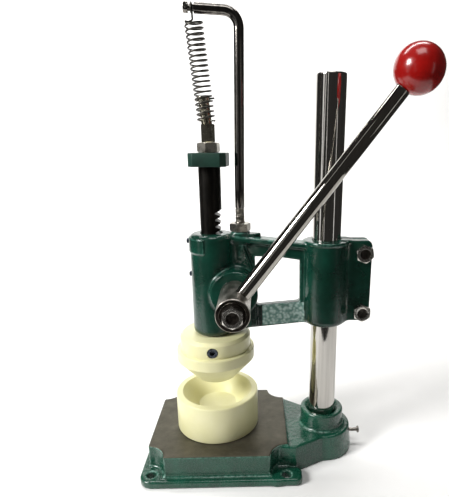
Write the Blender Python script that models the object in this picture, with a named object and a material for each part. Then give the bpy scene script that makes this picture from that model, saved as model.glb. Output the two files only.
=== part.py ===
# Hand press that forms tartlet shells: a cast base with a nylon cup, a round column, a cast arm
# clamped on it, and a rack-and-pinion ram that carries the nylon plunger, pulled up by a spring.
# Metres, +Z up. Origin: on the column's axis, at the underside of the base. The cup lies towards
# -X, the lever and the hub towards -Y.

import math

import bmesh
import bpy
from mathutils import Matrix, Vector

# General fits
FIT = 0.0003  # gap left between two pieces that touch
OVERRUN = 0.003  # how far a cutter passes the face that it opens
LARGE_STEPS = 32  # sides of the large round pieces
SMALL_STEPS = 16  # sides of the small round pieces

# Column
COLUMN_RADIUS = 0.014
COLUMN_LENGTH = 0.3767
COLUMN_CHAMFER = 0.0012
COLUMN_FLOOR = 0.008  # iron left under the column's end

# Throat: column axis to ram axis
THROAT = 0.11325

# Base casting
BASE_HEIGHT = 0.0309
PAD_LENGTH = 0.1405
PAD_WIDTH = 0.124
PAD_TO_COLUMN = 0.0399  # pad's right edge to the column's axis
PAD_EDGE = 0.0008
NOTCH_RADIUS = 0.018
FLANGE_HEIGHT = 0.008
FLANGE_REACH = 0.0066
FLANGE_CORNER = 0.013
EAR_REACH = 0.0135  # how far the right ears pass the pad's right edge
EAR_DEPTH = 0.0195
EAR_HOLE_RADIUS = 0.0047
LEFT_HOLE_INSET = 0.0048
RIGHT_HOLE_INSET = 0.0018
PLATE_THICKNESS = 0.010
WALL_THICKNESS = 0.008
RIB_THICKNESS = 0.007
BOLT_BOSS_RADIUS = 0.0165
BOLT_BOSS_BORE = 0.012
NECK_HEIGHT = 0.028  # height of the neck that joins pad and column boss
NECK_HALF_WIDTH = 0.0457
NECK_SHOULDER = 0.0083  # where the neck starts to narrow, past the pad's right edge
NECK_REAR_SHOULDER = 0.0012  # the same on the rear side
BOSS_RADIUS = 0.0305
BOSS_DRAFT = 0.0025
COLLAR_RADIUS = 0.0228
COLLAR_RISE = 0.0185
COLLAR_MOUTH = 0.0036  # chamfer round the column at the collar's top
COLLAR_EDGE = 0.0015

# Column set screw
SET_SCREW_RADIUS = 0.002
SET_SCREW_HEIGHT = 0.0155
SET_SCREW_HEAD_RADIUS = 0.0036
SET_SCREW_HEAD_LENGTH = 0.0018
SET_SCREW_SHOWING = 0.0076
SET_SCREW_SLOT = 0.0009

# Lower die: the cup
CUP_RADIUS = 0.0433
CUP_HEIGHT = 0.0391
CUP_MOUTH_RADIUS = 0.0368
CUP_FLOOR_RADIUS = 0.020
CUP_DEPTH = 0.0168
CUP_EDGE = 0.0009
CUP_THREAD_DEPTH = 0.015

# Upper die: the plunger
DAYLIGHT = 0.0177  # cup rim to plunger nose at rest
PLUNGER_HEIGHT = 0.0493
PLUNGER_NOSE_RADIUS = 0.0205
PLUNGER_NOSE_ROUND = 0.0012
PLUNGER_CONE_HEIGHT = 0.0216
PLUNGER_FLANGE_RADIUS = 0.0401
PLUNGER_FLANGE_HEIGHT = 0.0111
PLUNGER_FLANGE_EDGE = 0.0010
PLUNGER_BODY_RADIUS = 0.0362
PLUNGER_SHOULDER = 0.003
PLUNGER_FLOOR = 0.014  # nylon left under the ram's end
CLOSING_GAP = 0.003  # left between nose and cup floor at full stroke: the shell's thickness

# Rack and pinion
GEAR_MODULE = 0.002
PINION_TEETH = 16
PRESSURE_ANGLE = math.radians(20)
ADDENDUM_SHARE = 0.9
DEDENDUM_SHARE = 1.25
TOOTH_PLAY = 0.0002
PINION_WIDTH = 0.020
RACK_SPACES_BELOW = 5
RACK_SPACES_ABOVE = 12

# Ram
RAM_RADIUS = 0.0105
RACK_PITCH_OFFSET = 0.00725  # ram axis to the rack's pitch line
RAM_RISE = 0.0629  # ram's top above the barrel
RAM_CHAMFER = 0.001

# Stop collar, its nut and the spring's stud
STOP_WIDTH = 0.0352
STOP_HEIGHT = 0.0125
STOP_CORNER = 0.005
STOP_TURN = math.radians(-4)
STUD_THREAD_RADIUS = 0.006
STUD_THREAD_DEPTH = 0.016
STOP_NUT_WIDTH = 0.019
STOP_NUT_HEIGHT = 0.009
STUD_HEX_WIDTH = 0.011
STUD_HEX_HEIGHT = 0.016
STUD_LEAN = math.radians(5.6)  # the spring pulls the neck over
STUD_NECK_RADIUS = 0.005
STUD_NECK_HEIGHT = 0.0198
STUD_HEAD_RADIUS = 0.0062
STUD_HEAD_HEIGHT = 0.0046
PIN_RADIUS = 0.0008
PIN_SHOWING = 0.0018
PIN_TURN = 4  # the pin lies between this curl and the next
PIN_SHARE = 0.5

# Return spring
WIRE_RADIUS = 0.00085
COIL_RADIUS = 0.0076
CURLS = 19
CURL_POINTS = 9
HOOK_DROP = 0.0102  # hook axis to the top curl
HOOK_STEPS = 9
HOOK_SWEEP = math.radians(235)
LEAD_SHARES = (0.45, 0.5, 0.35)  # how the wire leaves the last curl: inward, rearward, upward

# Arm casting
BARREL_RADIUS = 0.0215
BARREL_HEIGHT = 0.1024
BARREL_ROUND = 0.004
BARREL_TOP_EDGE = 0.0040  # rounded
BAND_PROUD = 0.0012
BAND_HEIGHT = 0.0179
BAND_ANGLE = math.radians(150)
CLAMP_RAISE = 0.0081  # clamp's foot above the barrel's foot
CLAMP_TOP_DROP = 0.0083  # clamp's top below the barrel's top
CLAMP_WALL = 0.008
CLAMP_ROUND = 0.005
LIP_PROUD = 0.001
LIP_HEIGHT = 0.003
BLOCK_HALF = 0.008
WEB_HALF = 0.005
TOP_BAR_HALF = 0.010
TOP_BAR_HEIGHT = 0.006
BOTTOM_BAR_HALF = 0.0040
BAR_PANEL_PROUD = 0.0010
EAR_HALF = 0.0105
CLAMP_EAR_REACH = 0.044
CLAMP_EAR_RAISE = 0.0121
CLAMP_EAR_TOP_DROP = 0.0073  # ears' top below the barrel's top
CLAMP_EAR_CORNER = 0.006
SPLIT_HALF = 0.0015
PINION_HEIGHT = 0.0466  # pinion axis above the barrel's foot
CROSS_BOSS_RADIUS = 0.023
CROSS_BOSS_FRONT = 0.0285
CROSS_BOSS_REAR = 0.024
CROSS_BOSS_SHIFT = 0.0015
CROSS_BOSS_FILLET = 0.005
CHAMBER_PLAY = 0.0008
CHAMBER_HALF = 0.011
HANGER_BOSS_RADIUS = 0.0125
HANGER_BOSS_RISE = 0.0012  # boss's top above the barrel's top
HANGER_HOLE_DEPTH = 0.029

# Outlines in the arm's plane: x from the column axis as shares of the throat, z as shares of the
# barrel's height, both hand-chosen
BLOCK_OUTLINE_SHARES = (
    (-1.0, 0.0172), (-0.614, 0.0593), (-0.614, 0.536), (-0.662, 0.703), (-0.738, 0.915),
    (-0.580, 0.930), (-0.572, 0.975), (-0.60, 0.990), (-1.0, 0.990),
)
BOTTOM_BAR_SHARES = (
    (-1.0, 0.0172), (-0.80, 0.0172), (-0.669, 0.0335), (0.0, 0.1005), (0.0, 0.3263), (-1.0, 0.2354))
BAR_PANEL_SHARES = ((-0.570, 0.0612), (-0.10, 0.0986), (-0.10, 0.3144), (-0.570, 0.2718))
WEB_OUTLINE_SHARES = ((-0.88, 0.1914), (0.0, 0.2393), (0.0, 0.8374), (-0.86, 0.9331))
WINDOW_SHARES = (
    (-0.6146, 0.1436), (-0.2310, 0.1436), (-0.2370, 0.7273), (-0.410, 0.7589), (-0.628, 0.7685))
TOP_BAR_SHARES = (-0.870, 0.9868, -0.10, 0.8896)  # left end x and z, right end x and z

# Clamp bolts
CLAMP_BOLT_RADIUS = 0.005
CLAMP_BOLT_WIDTH = 0.016
CLAMP_BOLT_HEAD = 0.0064
CLAMP_BOLT_X = 0.0356
CLAMP_BOLT_LOW_INSET = 0.010  # above the ears' foot
CLAMP_BOLT_HIGH_INSET = 0.0123  # below the ears' top
CLAMP_BOLT_TAIL = 0.002
CLAMP_NUT_HEIGHT = 0.008
CLAMP_WASHER_RADIUS = 0.0092
CLAMP_WASHER_THICKNESS = 0.002

# Gib screws
GIB_SCREW_RADIUS = 0.0025
GIB_SCREW_SHOWING = 0.002
GIB_SOCKET_DEPTH = 0.002
GIB_SOCKET_WIDTH = 0.0025
GIB_LOW = 0.061
GIB_TOP_DROP = 0.0079  # upper gib screw below the barrel's top
GIB_PLUG_LENGTH = 0.004
GIB_PLUG_RADIUS = 0.0022

# Pinion shaft, bushes and what holds them
SHAFT_RADIUS = 0.008
BUSH_WALL = 0.004
BUSH_COLLAR_INSET = 0.0015
REAR_WASHER_RADIUS = 0.014
REAR_WASHER_THICKNESS = 0.002
CLIP_RADIUS = 0.0115
CLIP_THICKNESS = 0.0014
CLIP_GROOVE = 0.0009
SHAFT_TAIL = 0.002

# Lever hub
HUB_RADIUS = 0.015
HUB_LENGTH = 0.0542
HUB_EDGE = 0.0008
RECESS_RADIUS = 0.0116
RECESS_DEPTH = 0.0026
HUB_WASHER_THICKNESS = 0.0018
HUB_WASHER_PLAY = 0.0004
HUB_BOLT_RADIUS = 0.005
HUB_BOLT_WIDTH = 0.017
HUB_BOLT_HEAD = 0.0064
HUB_BOLT_GRIP = 0.014

# Lever rod and ball
LEVER_INSET = 0.0248  # lever axis behind the hub's front face
LEVER_ANGLE = math.radians(52.6)  # above +X at rest
LEVER_REACH = 0.246  # pinion axis to the ball's centre
LEVER_ROOT_RADIUS = 0.0073
LEVER_TIP_RADIUS = 0.0063
LEVER_SEAT_DEPTH = 0.003
LEVER_SPIGOT_RADIUS = 0.005
LEVER_SPIGOT_PAST = 0.004
BALL_RADIUS = 0.020
BALL_FLAT = 0.0011
BALL_RINGS = 12
BALL_THREAD_DEPTH = 0.022

# Spring hanger: bent rod with a grooved end
HANGER_RADIUS = 0.0046
HANGER_X = 0.0852  # hanger axis to the column axis, at its foot
HANGER_LEAN = 0.0022
HANGER_STRAIGHT = 0.050  # straight stretch from the foot
HANGER_CROWN_RISE = 0.1954  # bend's crown, on the rod's axis, above the barrel's top
HANGER_RISE = math.radians(3.3)  # of the bent end
HANGER_BEND = 0.014
HANGER_REACH = 0.1307
HANGER_NUB_LENGTH = 0.0043
HANGER_GROOVE_LENGTH = 0.0053
HANGER_GROOVE_RADIUS = 0.0028
HANGER_BEND_STEPS = 6
HANGER_SIDES_RESOLUTION = 3
HANGER_NUT_WIDTH = 0.018
HANGER_NUT_HEIGHT = 0.008

# Screw of the upper die
DIE_SCREW_RADIUS = 0.003
DIE_SCREW_HEAD_RADIUS = 0.0052
DIE_SCREW_HEAD_LENGTH = 0.006
DIE_SCREW_SOCKET = 0.005
DIE_SCREW_SOCKET_DEPTH = 0.003
DIE_SCREW_DROP = 0.0095  # below the plunger's top

# Bolt of the lower die
CUP_BOLT_RADIUS = 0.004
CUP_BOLT_WIDTH = 0.013
CUP_BOLT_HEAD = 0.0053
CUP_WASHER_RADIUS = 0.009
CUP_WASHER_THICKNESS = 0.0016

# Places that follow from the sizes
CUP_BASE = BASE_HEIGHT + FIT
CUP_RIM = CUP_BASE + CUP_HEIGHT
NOSE_Z = CUP_RIM + DAYLIGHT
ARM_FOOT = NOSE_Z + PLUNGER_HEIGHT + 2 * FIT
PITCH_RADIUS = GEAR_MODULE * PINION_TEETH / 2
PINION_X = -THROAT + RACK_PITCH_OFFSET + PITCH_RADIUS
ADDENDUM = GEAR_MODULE * ADDENDUM_SHARE
DEDENDUM = GEAR_MODULE * DEDENDUM_SHARE
TOOTH_PITCH = math.pi * GEAR_MODULE
STROKE = DAYLIGHT + CUP_DEPTH - CLOSING_GAP
RAM_BORE = RAM_RADIUS + FIT
COLUMN_BORE = COLUMN_RADIUS + FIT
CLAMP_RADIUS = COLUMN_RADIUS + CLAMP_WALL
CLAMP_HEIGHT = BARREL_HEIGHT - CLAMP_TOP_DROP - CLAMP_RAISE
CLAMP_EAR_HEIGHT = BARREL_HEIGHT - CLAMP_EAR_TOP_DROP - CLAMP_EAR_RAISE
CLAMP_BOLT_LOW = CLAMP_EAR_RAISE + CLAMP_BOLT_LOW_INSET
CLAMP_BOLT_HIGH = CLAMP_EAR_RAISE + CLAMP_EAR_HEIGHT - CLAMP_BOLT_HIGH_INSET
GIB_HIGH = BARREL_HEIGHT - GIB_TOP_DROP
HANGER_BOSS_TOP = BARREL_HEIGHT + HANGER_BOSS_RISE
HANGER_HEIGHT = BARREL_HEIGHT + HANGER_CROWN_RISE
CHAMBER_RADIUS = PITCH_RADIUS + ADDENDUM + CHAMBER_PLAY
BUSH_RADIUS = SHAFT_RADIUS + BUSH_WALL
HUB_BACK = CROSS_BOSS_FRONT + FIT
HUB_FRONT = HUB_BACK + HUB_LENGTH
LEVER_Y = HUB_FRONT - LEVER_INSET
RAM_TOP = BARREL_HEIGHT + RAM_RISE
STOP_BASE = RAM_TOP + FIT
STOP_TOP = STOP_BASE + STOP_HEIGHT
STUD_HEX_BASE = STOP_TOP + STOP_NUT_HEIGHT + 2 * FIT
STUD_NECK_BASE = STUD_HEX_BASE + STUD_HEX_HEIGHT
STUD_PIVOT = STUD_HEX_BASE + STUD_HEX_HEIGHT / 2  # the neck leans from here; heights below are from it
STUD_NECK_TOP = STUD_NECK_BASE + STUD_NECK_HEIGHT - STUD_PIVOT
SPRING_FOOT = STUD_HEX_HEIGHT / 2 + FIT + WIRE_RADIUS + (COIL_RADIUS + 2 * WIRE_RADIUS) * math.sin(STUD_LEAN)
SPRING_TOP = HANGER_HEIGHT - HOOK_DROP - STUD_PIVOT
CURL_PITCH = (SPRING_TOP - SPRING_FOOT) / CURLS
GROOVE_X = -HANGER_REACH + HANGER_NUB_LENGTH + HANGER_GROOVE_LENGTH / 2


def clear_scene():
    for thing in list(bpy.data.objects):
        bpy.data.objects.remove(thing, do_unlink=True)


def painted(name, colour, roughness, metallic):
    finish = bpy.data.materials.new(name)
    finish.use_nodes = True
    shader = finish.node_tree.nodes["Principled BSDF"]
    shader.inputs["Base Color"].default_value = (*colour, 1.0)
    shader.inputs["Roughness"].default_value = roughness
    shader.inputs["Metallic"].default_value = metallic
    return finish


def guide(name, place, parent=None):
    empty = bpy.data.objects.new(name, None)
    bpy.context.scene.collection.objects.link(empty)
    empty.location = place
    empty.parent = parent
    return empty


def solid(name, mesh_data, finish, parent, place=(0, 0, 0), turn=(0, 0, 0)):
    thing = bpy.data.objects.new(name, mesh_data)
    bpy.context.scene.collection.objects.link(thing)
    thing.location = place
    thing.rotation_euler = turn
    thing.parent = parent
    if finish is not None:
        mesh_data.materials.append(finish)
    return thing


def helper(name, mesh_data, parent, place=(0, 0, 0), turn=(0, 0, 0)):
    # a shape that only cuts or adds to another
    thing = solid(name, mesh_data, None, parent, place, turn)
    thing.hide_render = True
    thing.display_type = "WIRE"
    return thing


def combine(thing, other, operation):
    # the castings carry many steps that meet in common planes, which the exact solver leaves open
    step = thing.modifiers.new(other.name, "BOOLEAN")
    step.operation = operation
    step.object = other
    step.solver = "MANIFOLD" if "casting" in thing.name else "EXACT"


def add(thing, *others):
    for other in others:
        combine(thing, other, "UNION")


def cut(thing, *others):
    for other in others:
        combine(thing, other, "DIFFERENCE")


def finished_mesh(name, shape):
    bmesh.ops.remove_doubles(shape, verts=shape.verts, dist=FIT / 100)
    bmesh.ops.recalc_face_normals(shape, faces=shape.faces)
    mesh_data = bpy.data.meshes.new(name)
    shape.to_mesh(mesh_data)
    shape.free()
    mesh_data.shade_smooth()
    mesh_data.set_sharp_from_angle(angle=math.radians(35))
    return mesh_data


def turned(name, profile, steps, closed=False, angle=2 * math.pi):
    # profile: (radius, height) pairs, spun about local Z; closed where it doesn't end on the axis
    shape = bmesh.new()
    corners = [shape.verts.new((radius, 0, height)) for radius, height in profile]
    edges = [shape.edges.new(pair) for pair in zip(corners, corners[1:])]
    if closed:
        edges.append(shape.edges.new((corners[-1], corners[0])))
    full = math.isclose(angle, 2 * math.pi)
    geometry = corners + edges
    if not full:
        face = shape.faces.new(corners)
        geometry.append(face)
        bmesh.ops.rotate(
            shape, verts=corners, cent=(0, 0, 0),
            matrix=Matrix.Rotation(-angle / 2, 3, "Z"))
    bmesh.ops.spin(
        shape, geom=geometry, cent=(0, 0, 0), axis=(0, 0, 1),
        angle=angle, steps=steps, use_merge=full, use_duplicate=False)
    return finished_mesh(name, shape)


def rod_profile(radius, low, high, chamfer=0):
    if not chamfer:
        return [(0, low), (radius, low), (radius, high), (0, high)]
    return [
        (0, low), (radius - chamfer, low), (radius, low + chamfer),
        (radius, high - chamfer), (radius - chamfer, high), (0, high)]


def ring_profile(inner, outer, low, high):
    return [(inner, low), (outer, low), (outer, high), (inner, high)]


def rod(name, radius, low, high, steps=SMALL_STEPS, chamfer=0):
    return turned(name, rod_profile(radius, low, high, chamfer), steps)


def arc(centre, radius, start, end, steps):
    return [
        (centre[0] + radius * math.cos(start + (end - start) * step / steps),
         centre[1] + radius * math.sin(start + (end - start) * step / steps))
        for step in range(steps + 1)]


def prism(name, outline, low, high, plane="XY"):
    # plane XY is raised along Z; plane XZ runs along Y from low to high
    shape = bmesh.new()
    if plane == "XY":
        corners = [shape.verts.new((x, y, low)) for x, y in outline]
        rise = (0, 0, high - low)
    else:
        corners = [shape.verts.new((x, low, z)) for x, z in outline]
        rise = (0, high - low, 0)
    base = shape.faces.new(corners)
    raised = bmesh.ops.extrude_face_region(shape, geom=[base])
    moved = [item for item in raised["geom"] if isinstance(item, bmesh.types.BMVert)]
    bmesh.ops.translate(shape, verts=moved, vec=rise)
    return finished_mesh(name, shape)


def loft(name, low_outline, high_outline, low, high):
    shape = bmesh.new()
    bottom = [shape.verts.new((x, y, low)) for x, y in low_outline]
    top = [shape.verts.new((x, y, high)) for x, y in high_outline]
    shape.faces.new(bottom)
    shape.faces.new(top)
    count = len(bottom)
    for index in range(count):
        after = (index + 1) % count
        shape.faces.new((bottom[index], bottom[after], top[after], top[index]))
    return finished_mesh(name, shape)


def hexagon(width, turn=0):
    reach = width / math.sqrt(3)
    return [
        (reach * math.cos(turn + math.pi * side / 3), reach * math.sin(turn + math.pi * side / 3))
        for side in range(6)]


def box_outline(left, right, near, far):
    return [(left, near), (right, near), (right, far), (left, far)]


def rounded_box(left, right, near, far, corner, steps=4):
    quarter = math.pi / 2
    return (
        arc((right - corner, near + corner), corner, -quarter, 0, steps)
        + arc((right - corner, far - corner), corner, 0, quarter, steps)
        + arc((left + corner, far - corner), corner, quarter, 2 * quarter, steps)
        + arc((left + corner, near + corner), corner, 2 * quarter, 3 * quarter, steps))


def arm_points(shares):
    return [(x * THROAT, z * BARREL_HEIGHT) for x, z in shares]


def hex_bolt(name, width, head, radius, length, finish, parent, place, turn, hex_turn=0):
    # head above local z = 0, shank below it
    thing = solid(name, prism(name, hexagon(width, hex_turn), 0, head), finish, parent, place, turn)
    shank = rod(name + "_shank", radius, -length, head / 2, SMALL_STEPS)
    add(thing, helper(name + "_shank", shank, parent, place, turn))
    return thing


def hex_nut(name, width, height, bore, finish, parent, place, turn=(0, 0, 0), hex_turn=0):
    thing = solid(name, prism(name, hexagon(width, hex_turn), 0, height), finish, parent, place, turn)
    hole = rod(name + "_hole", bore, -OVERRUN, height + OVERRUN)
    cut(thing, helper(name + "_hole", hole, parent, place, turn))
    return thing


def washer(name, inner, outer, thickness, finish, parent, place, turn=(0, 0, 0)):
    ring = turned(name, ring_profile(inner, outer, 0, thickness), SMALL_STEPS, closed=True)
    return solid(name, ring, finish, parent, place, turn)


TO_FRONT = (math.pi / 2, 0, 0)  # local Z towards -Y
TO_REAR = (-math.pi / 2, 0, 0)  # local Z towards +Y
TO_LEFT = (0, -math.pi / 2, 0)  # local Z towards -X
TO_RIGHT = (0, math.pi / 2, 0)  # local Z towards +X


def pad_outline():
    left = -PAD_TO_COLUMN - PAD_LENGTH
    right = -PAD_TO_COLUMN
    half = PAD_WIDTH / 2
    quarter = math.pi / 2
    steps = 6
    return (
        arc((right, -half), NOTCH_RADIUS, 2 * quarter, quarter, steps)
        + arc((right, half), NOTCH_RADIUS, 3 * quarter, 2 * quarter, steps)
        + arc((left, half), NOTCH_RADIUS, 4 * quarter, 3 * quarter, steps)
        + arc((left, -half), NOTCH_RADIUS, quarter, 0, steps))


def neck_outline(grow):
    start = -PAD_TO_COLUMN - WALL_THICKNESS
    shoulder = -PAD_TO_COLUMN + NECK_SHOULDER
    radius = BOSS_RADIUS + grow
    half = NECK_HALF_WIDTH + grow
    sweep = math.radians(95)
    round_end = arc((0, 0), radius, -sweep, sweep, 16)
    waist = (shoulder + round_end[0][0]) / 2
    flank = (half + radius) / 2 - grow
    rear_shoulder = -PAD_TO_COLUMN + NECK_REAR_SHOULDER
    near = [(start, -half), (shoulder, -half), (waist, -flank)]
    far = [(waist, radius), (rear_shoulder, half), (start, half)]
    return near + round_end + far


def make_base(finish, steel):
    left = -PAD_TO_COLUMN - PAD_LENGTH
    right = -PAD_TO_COLUMN
    half = PAD_WIDTH / 2
    root = guide("base_frame", (0, 0, 0))
    casting = solid("base_casting", prism("base_casting", pad_outline(), 0, BASE_HEIGHT), finish, root)
    edge = casting.modifiers.new("pad_edge", "BEVEL")
    edge.width = PAD_EDGE
    edge.segments = 1
    edge.limit_method = "ANGLE"
    flange = prism(
        "base_flange",
        rounded_box(left - FLANGE_REACH, right, -half - FLANGE_REACH, half + FLANGE_REACH, FLANGE_CORNER),
        0, FLANGE_HEIGHT)
    parts = [helper("base_flange", flange, root)]
    for side, word in ((-1, "front"), (1, "rear")):
        outer = side * (half + FLANGE_REACH)
        inner = side * (half + FLANGE_REACH - EAR_DEPTH)
        ear = prism(
            "base_ear_" + word,
            rounded_box(right - NOTCH_RADIUS, right + EAR_REACH, min(outer, inner), max(outer, inner),
                        EAR_DEPTH / 3),
            0, FLANGE_HEIGHT)
        parts.append(helper("base_ear_" + word, ear, root))
    neck = loft("base_neck", neck_outline(BOSS_DRAFT), neck_outline(0), 0, NECK_HEIGHT)
    parts.append(helper("base_neck", neck, root))
    collar_top = NECK_HEIGHT + COLLAR_RISE
    collar = turned("base_collar", [
        (0, NECK_HEIGHT / 2), (COLLAR_RADIUS, NECK_HEIGHT / 2), (COLLAR_RADIUS, collar_top - COLLAR_EDGE),
        (COLLAR_RADIUS - COLLAR_EDGE, collar_top), (0, collar_top)], LARGE_STEPS)
    parts.append(helper("base_collar", collar, root))
    add(casting, *parts)

    # cored underside: one hollow, crossed by two ribs and the bolt boss
    ceiling = BASE_HEIGHT - PLATE_THICKNESS
    core = helper("base_core", prism(
        "base_core",
        rounded_box(left + WALL_THICKNESS + LEFT_HOLE_INSET, right - WALL_THICKNESS - LEFT_HOLE_INSET,
                    -half + WALL_THICKNESS, half - WALL_THICKNESS, NOTCH_RADIUS),
        -OVERRUN, ceiling), root)
    rib_reach = PAD_LENGTH
    cut(core, helper("base_rib_long", prism(
        "base_rib_long", box_outline(-rib_reach - THROAT, rib_reach, -RIB_THICKNESS / 2, RIB_THICKNESS / 2),
        -2 * OVERRUN, BASE_HEIGHT), root))
    cut(core, helper("base_rib_cross", prism(
        "base_rib_cross",
        box_outline(-THROAT - RIB_THICKNESS / 2, -THROAT + RIB_THICKNESS / 2, -rib_reach, rib_reach),
        -2 * OVERRUN, BASE_HEIGHT), root))
    cut(core, helper("base_bolt_boss", rod(
        "base_bolt_boss", BOLT_BOSS_RADIUS, -2 * OVERRUN, BASE_HEIGHT, LARGE_STEPS), root, (-THROAT, 0, 0)))
    cut(casting, core)
    cut(casting, helper("base_boss_bore", rod(
        "base_boss_bore", BOLT_BOSS_BORE, -OVERRUN, ceiling, LARGE_STEPS), root, (-THROAT, 0, 0)))
    cut(casting, helper("base_bolt_hole", rod(
        "base_bolt_hole", CUP_BOLT_RADIUS + FIT, -OVERRUN, BASE_HEIGHT + OVERRUN), root, (-THROAT, 0, 0)))
    for place_x, inset, word in ((left, LEFT_HOLE_INSET, "left"), (right, -RIGHT_HOLE_INSET, "right")):
        for side, end in ((-1, "front"), (1, "rear")):
            label = "base_ear_hole_" + word + "_" + end
            hole = rod(label, EAR_HOLE_RADIUS, -OVERRUN, BASE_HEIGHT + OVERRUN)
            cut(casting, helper(label, hole, root, (place_x + inset, side * (half - abs(inset)), 0)))
    socket = turned("base_socket", [
        (0, COLUMN_FLOOR), (COLUMN_BORE, COLUMN_FLOOR), (COLUMN_BORE, collar_top - COLLAR_MOUTH),
        (COLUMN_BORE + COLLAR_MOUTH + OVERRUN, collar_top + OVERRUN), (0, collar_top + OVERRUN)],
        LARGE_STEPS)
    cut(casting, helper("base_socket", socket, root))
    screw_tip = COLUMN_RADIUS + FIT
    screw_seat = BOSS_RADIUS + BOSS_DRAFT + SET_SCREW_SHOWING
    cut(casting, helper("base_screw_hole", rod(
        "base_screw_hole", SET_SCREW_RADIUS + FIT, 0, screw_seat + OVERRUN), root,
        (0, 0, SET_SCREW_HEIGHT), TO_RIGHT))
    screw = solid("column_set_screw", turned("column_set_screw", [
        (0, screw_tip), (SET_SCREW_RADIUS, screw_tip), (SET_SCREW_RADIUS, screw_seat),
        (SET_SCREW_HEAD_RADIUS, screw_seat), (SET_SCREW_HEAD_RADIUS, screw_seat + SET_SCREW_HEAD_LENGTH),
        (0, screw_seat + SET_SCREW_HEAD_LENGTH)], SMALL_STEPS), steel, root,
        (0, 0, SET_SCREW_HEIGHT), TO_RIGHT)
    slot_floor = screw_seat + SET_SCREW_HEAD_LENGTH - SET_SCREW_SLOT
    slot_half = SET_SCREW_SLOT / 2
    cut(screw, helper("set_screw_slot", prism(
        "set_screw_slot",
        box_outline(slot_floor, slot_floor + OVERRUN, SET_SCREW_HEIGHT - slot_half, SET_SCREW_HEIGHT + slot_half),
        -2 * SET_SCREW_HEAD_RADIUS, 2 * SET_SCREW_HEAD_RADIUS, "XZ"), root))
    return root


def make_cup(root, nylon, steel):
    ceiling = BASE_HEIGHT - PLATE_THICKNESS
    slope = CUP_EDGE / 2
    profile = [
        (0, CUP_THREAD_DEPTH), (CUP_BOLT_RADIUS + FIT, CUP_THREAD_DEPTH), (CUP_BOLT_RADIUS + FIT, 0),
        (CUP_RADIUS - CUP_EDGE, 0), (CUP_RADIUS, CUP_EDGE), (CUP_RADIUS, CUP_HEIGHT - CUP_EDGE),
        (CUP_RADIUS - CUP_EDGE, CUP_HEIGHT), (CUP_MOUTH_RADIUS + slope, CUP_HEIGHT),
        (CUP_MOUTH_RADIUS - slope, CUP_HEIGHT - slope), (CUP_FLOOR_RADIUS + slope, CUP_HEIGHT - CUP_DEPTH + slope),
        (CUP_FLOOR_RADIUS - CUP_EDGE, CUP_HEIGHT - CUP_DEPTH), (0, CUP_HEIGHT - CUP_DEPTH)]
    solid("lower_die", turned("lower_die", profile, LARGE_STEPS), nylon, root, (-THROAT, 0, CUP_BASE))
    washer("lower_die_washer", CUP_BOLT_RADIUS + FIT, CUP_WASHER_RADIUS, CUP_WASHER_THICKNESS, steel, root,
           (-THROAT, 0, ceiling - FIT - CUP_WASHER_THICKNESS))
    head_top = ceiling - 2 * FIT - CUP_WASHER_THICKNESS
    length = CUP_BASE + CUP_THREAD_DEPTH - FIT - head_top
    hex_bolt("lower_die_bolt", CUP_BOLT_WIDTH, CUP_BOLT_HEAD, CUP_BOLT_RADIUS, length, steel, root,
             (-THROAT, 0, head_top), (math.pi, 0, 0))


def make_column(root, chrome):
    low = COLUMN_FLOOR + FIT
    solid("column", rod("column", COLUMN_RADIUS, low, low + COLUMN_LENGTH, LARGE_STEPS, COLUMN_CHAMFER),
          chrome, root)


def cross_boss(name):
    # local Z towards -Y; a fillet flares to each face of the block
    turn_steps = 2
    flare = [
        (CROSS_BOSS_RADIUS + CROSS_BOSS_FILLET * (1 - math.sin(math.pi / 2 * step / turn_steps)),
         BLOCK_HALF + CROSS_BOSS_FILLET * (1 - math.cos(math.pi / 2 * step / turn_steps)))
        for step in range(turn_steps + 1)]
    rear_flare = [(radius, -height) for radius, height in reversed(flare)]
    return turned(name, [
        (0, -CROSS_BOSS_REAR), (CROSS_BOSS_RADIUS - COLLAR_EDGE, -CROSS_BOSS_REAR),
        (CROSS_BOSS_RADIUS, -CROSS_BOSS_REAR + COLLAR_EDGE)] + rear_flare + flare + [
        (CROSS_BOSS_RADIUS, CROSS_BOSS_FRONT - COLLAR_EDGE),
        (CROSS_BOSS_RADIUS - COLLAR_EDGE, CROSS_BOSS_FRONT), (0, CROSS_BOSS_FRONT)], LARGE_STEPS)


def foot_round(radius, foot, corner, steps=2):
    return [
        (radius - corner + corner * math.sin(math.pi / 2 * step / steps),
         foot + corner - corner * math.cos(math.pi / 2 * step / steps))
        for step in range(steps + 1)]


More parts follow.
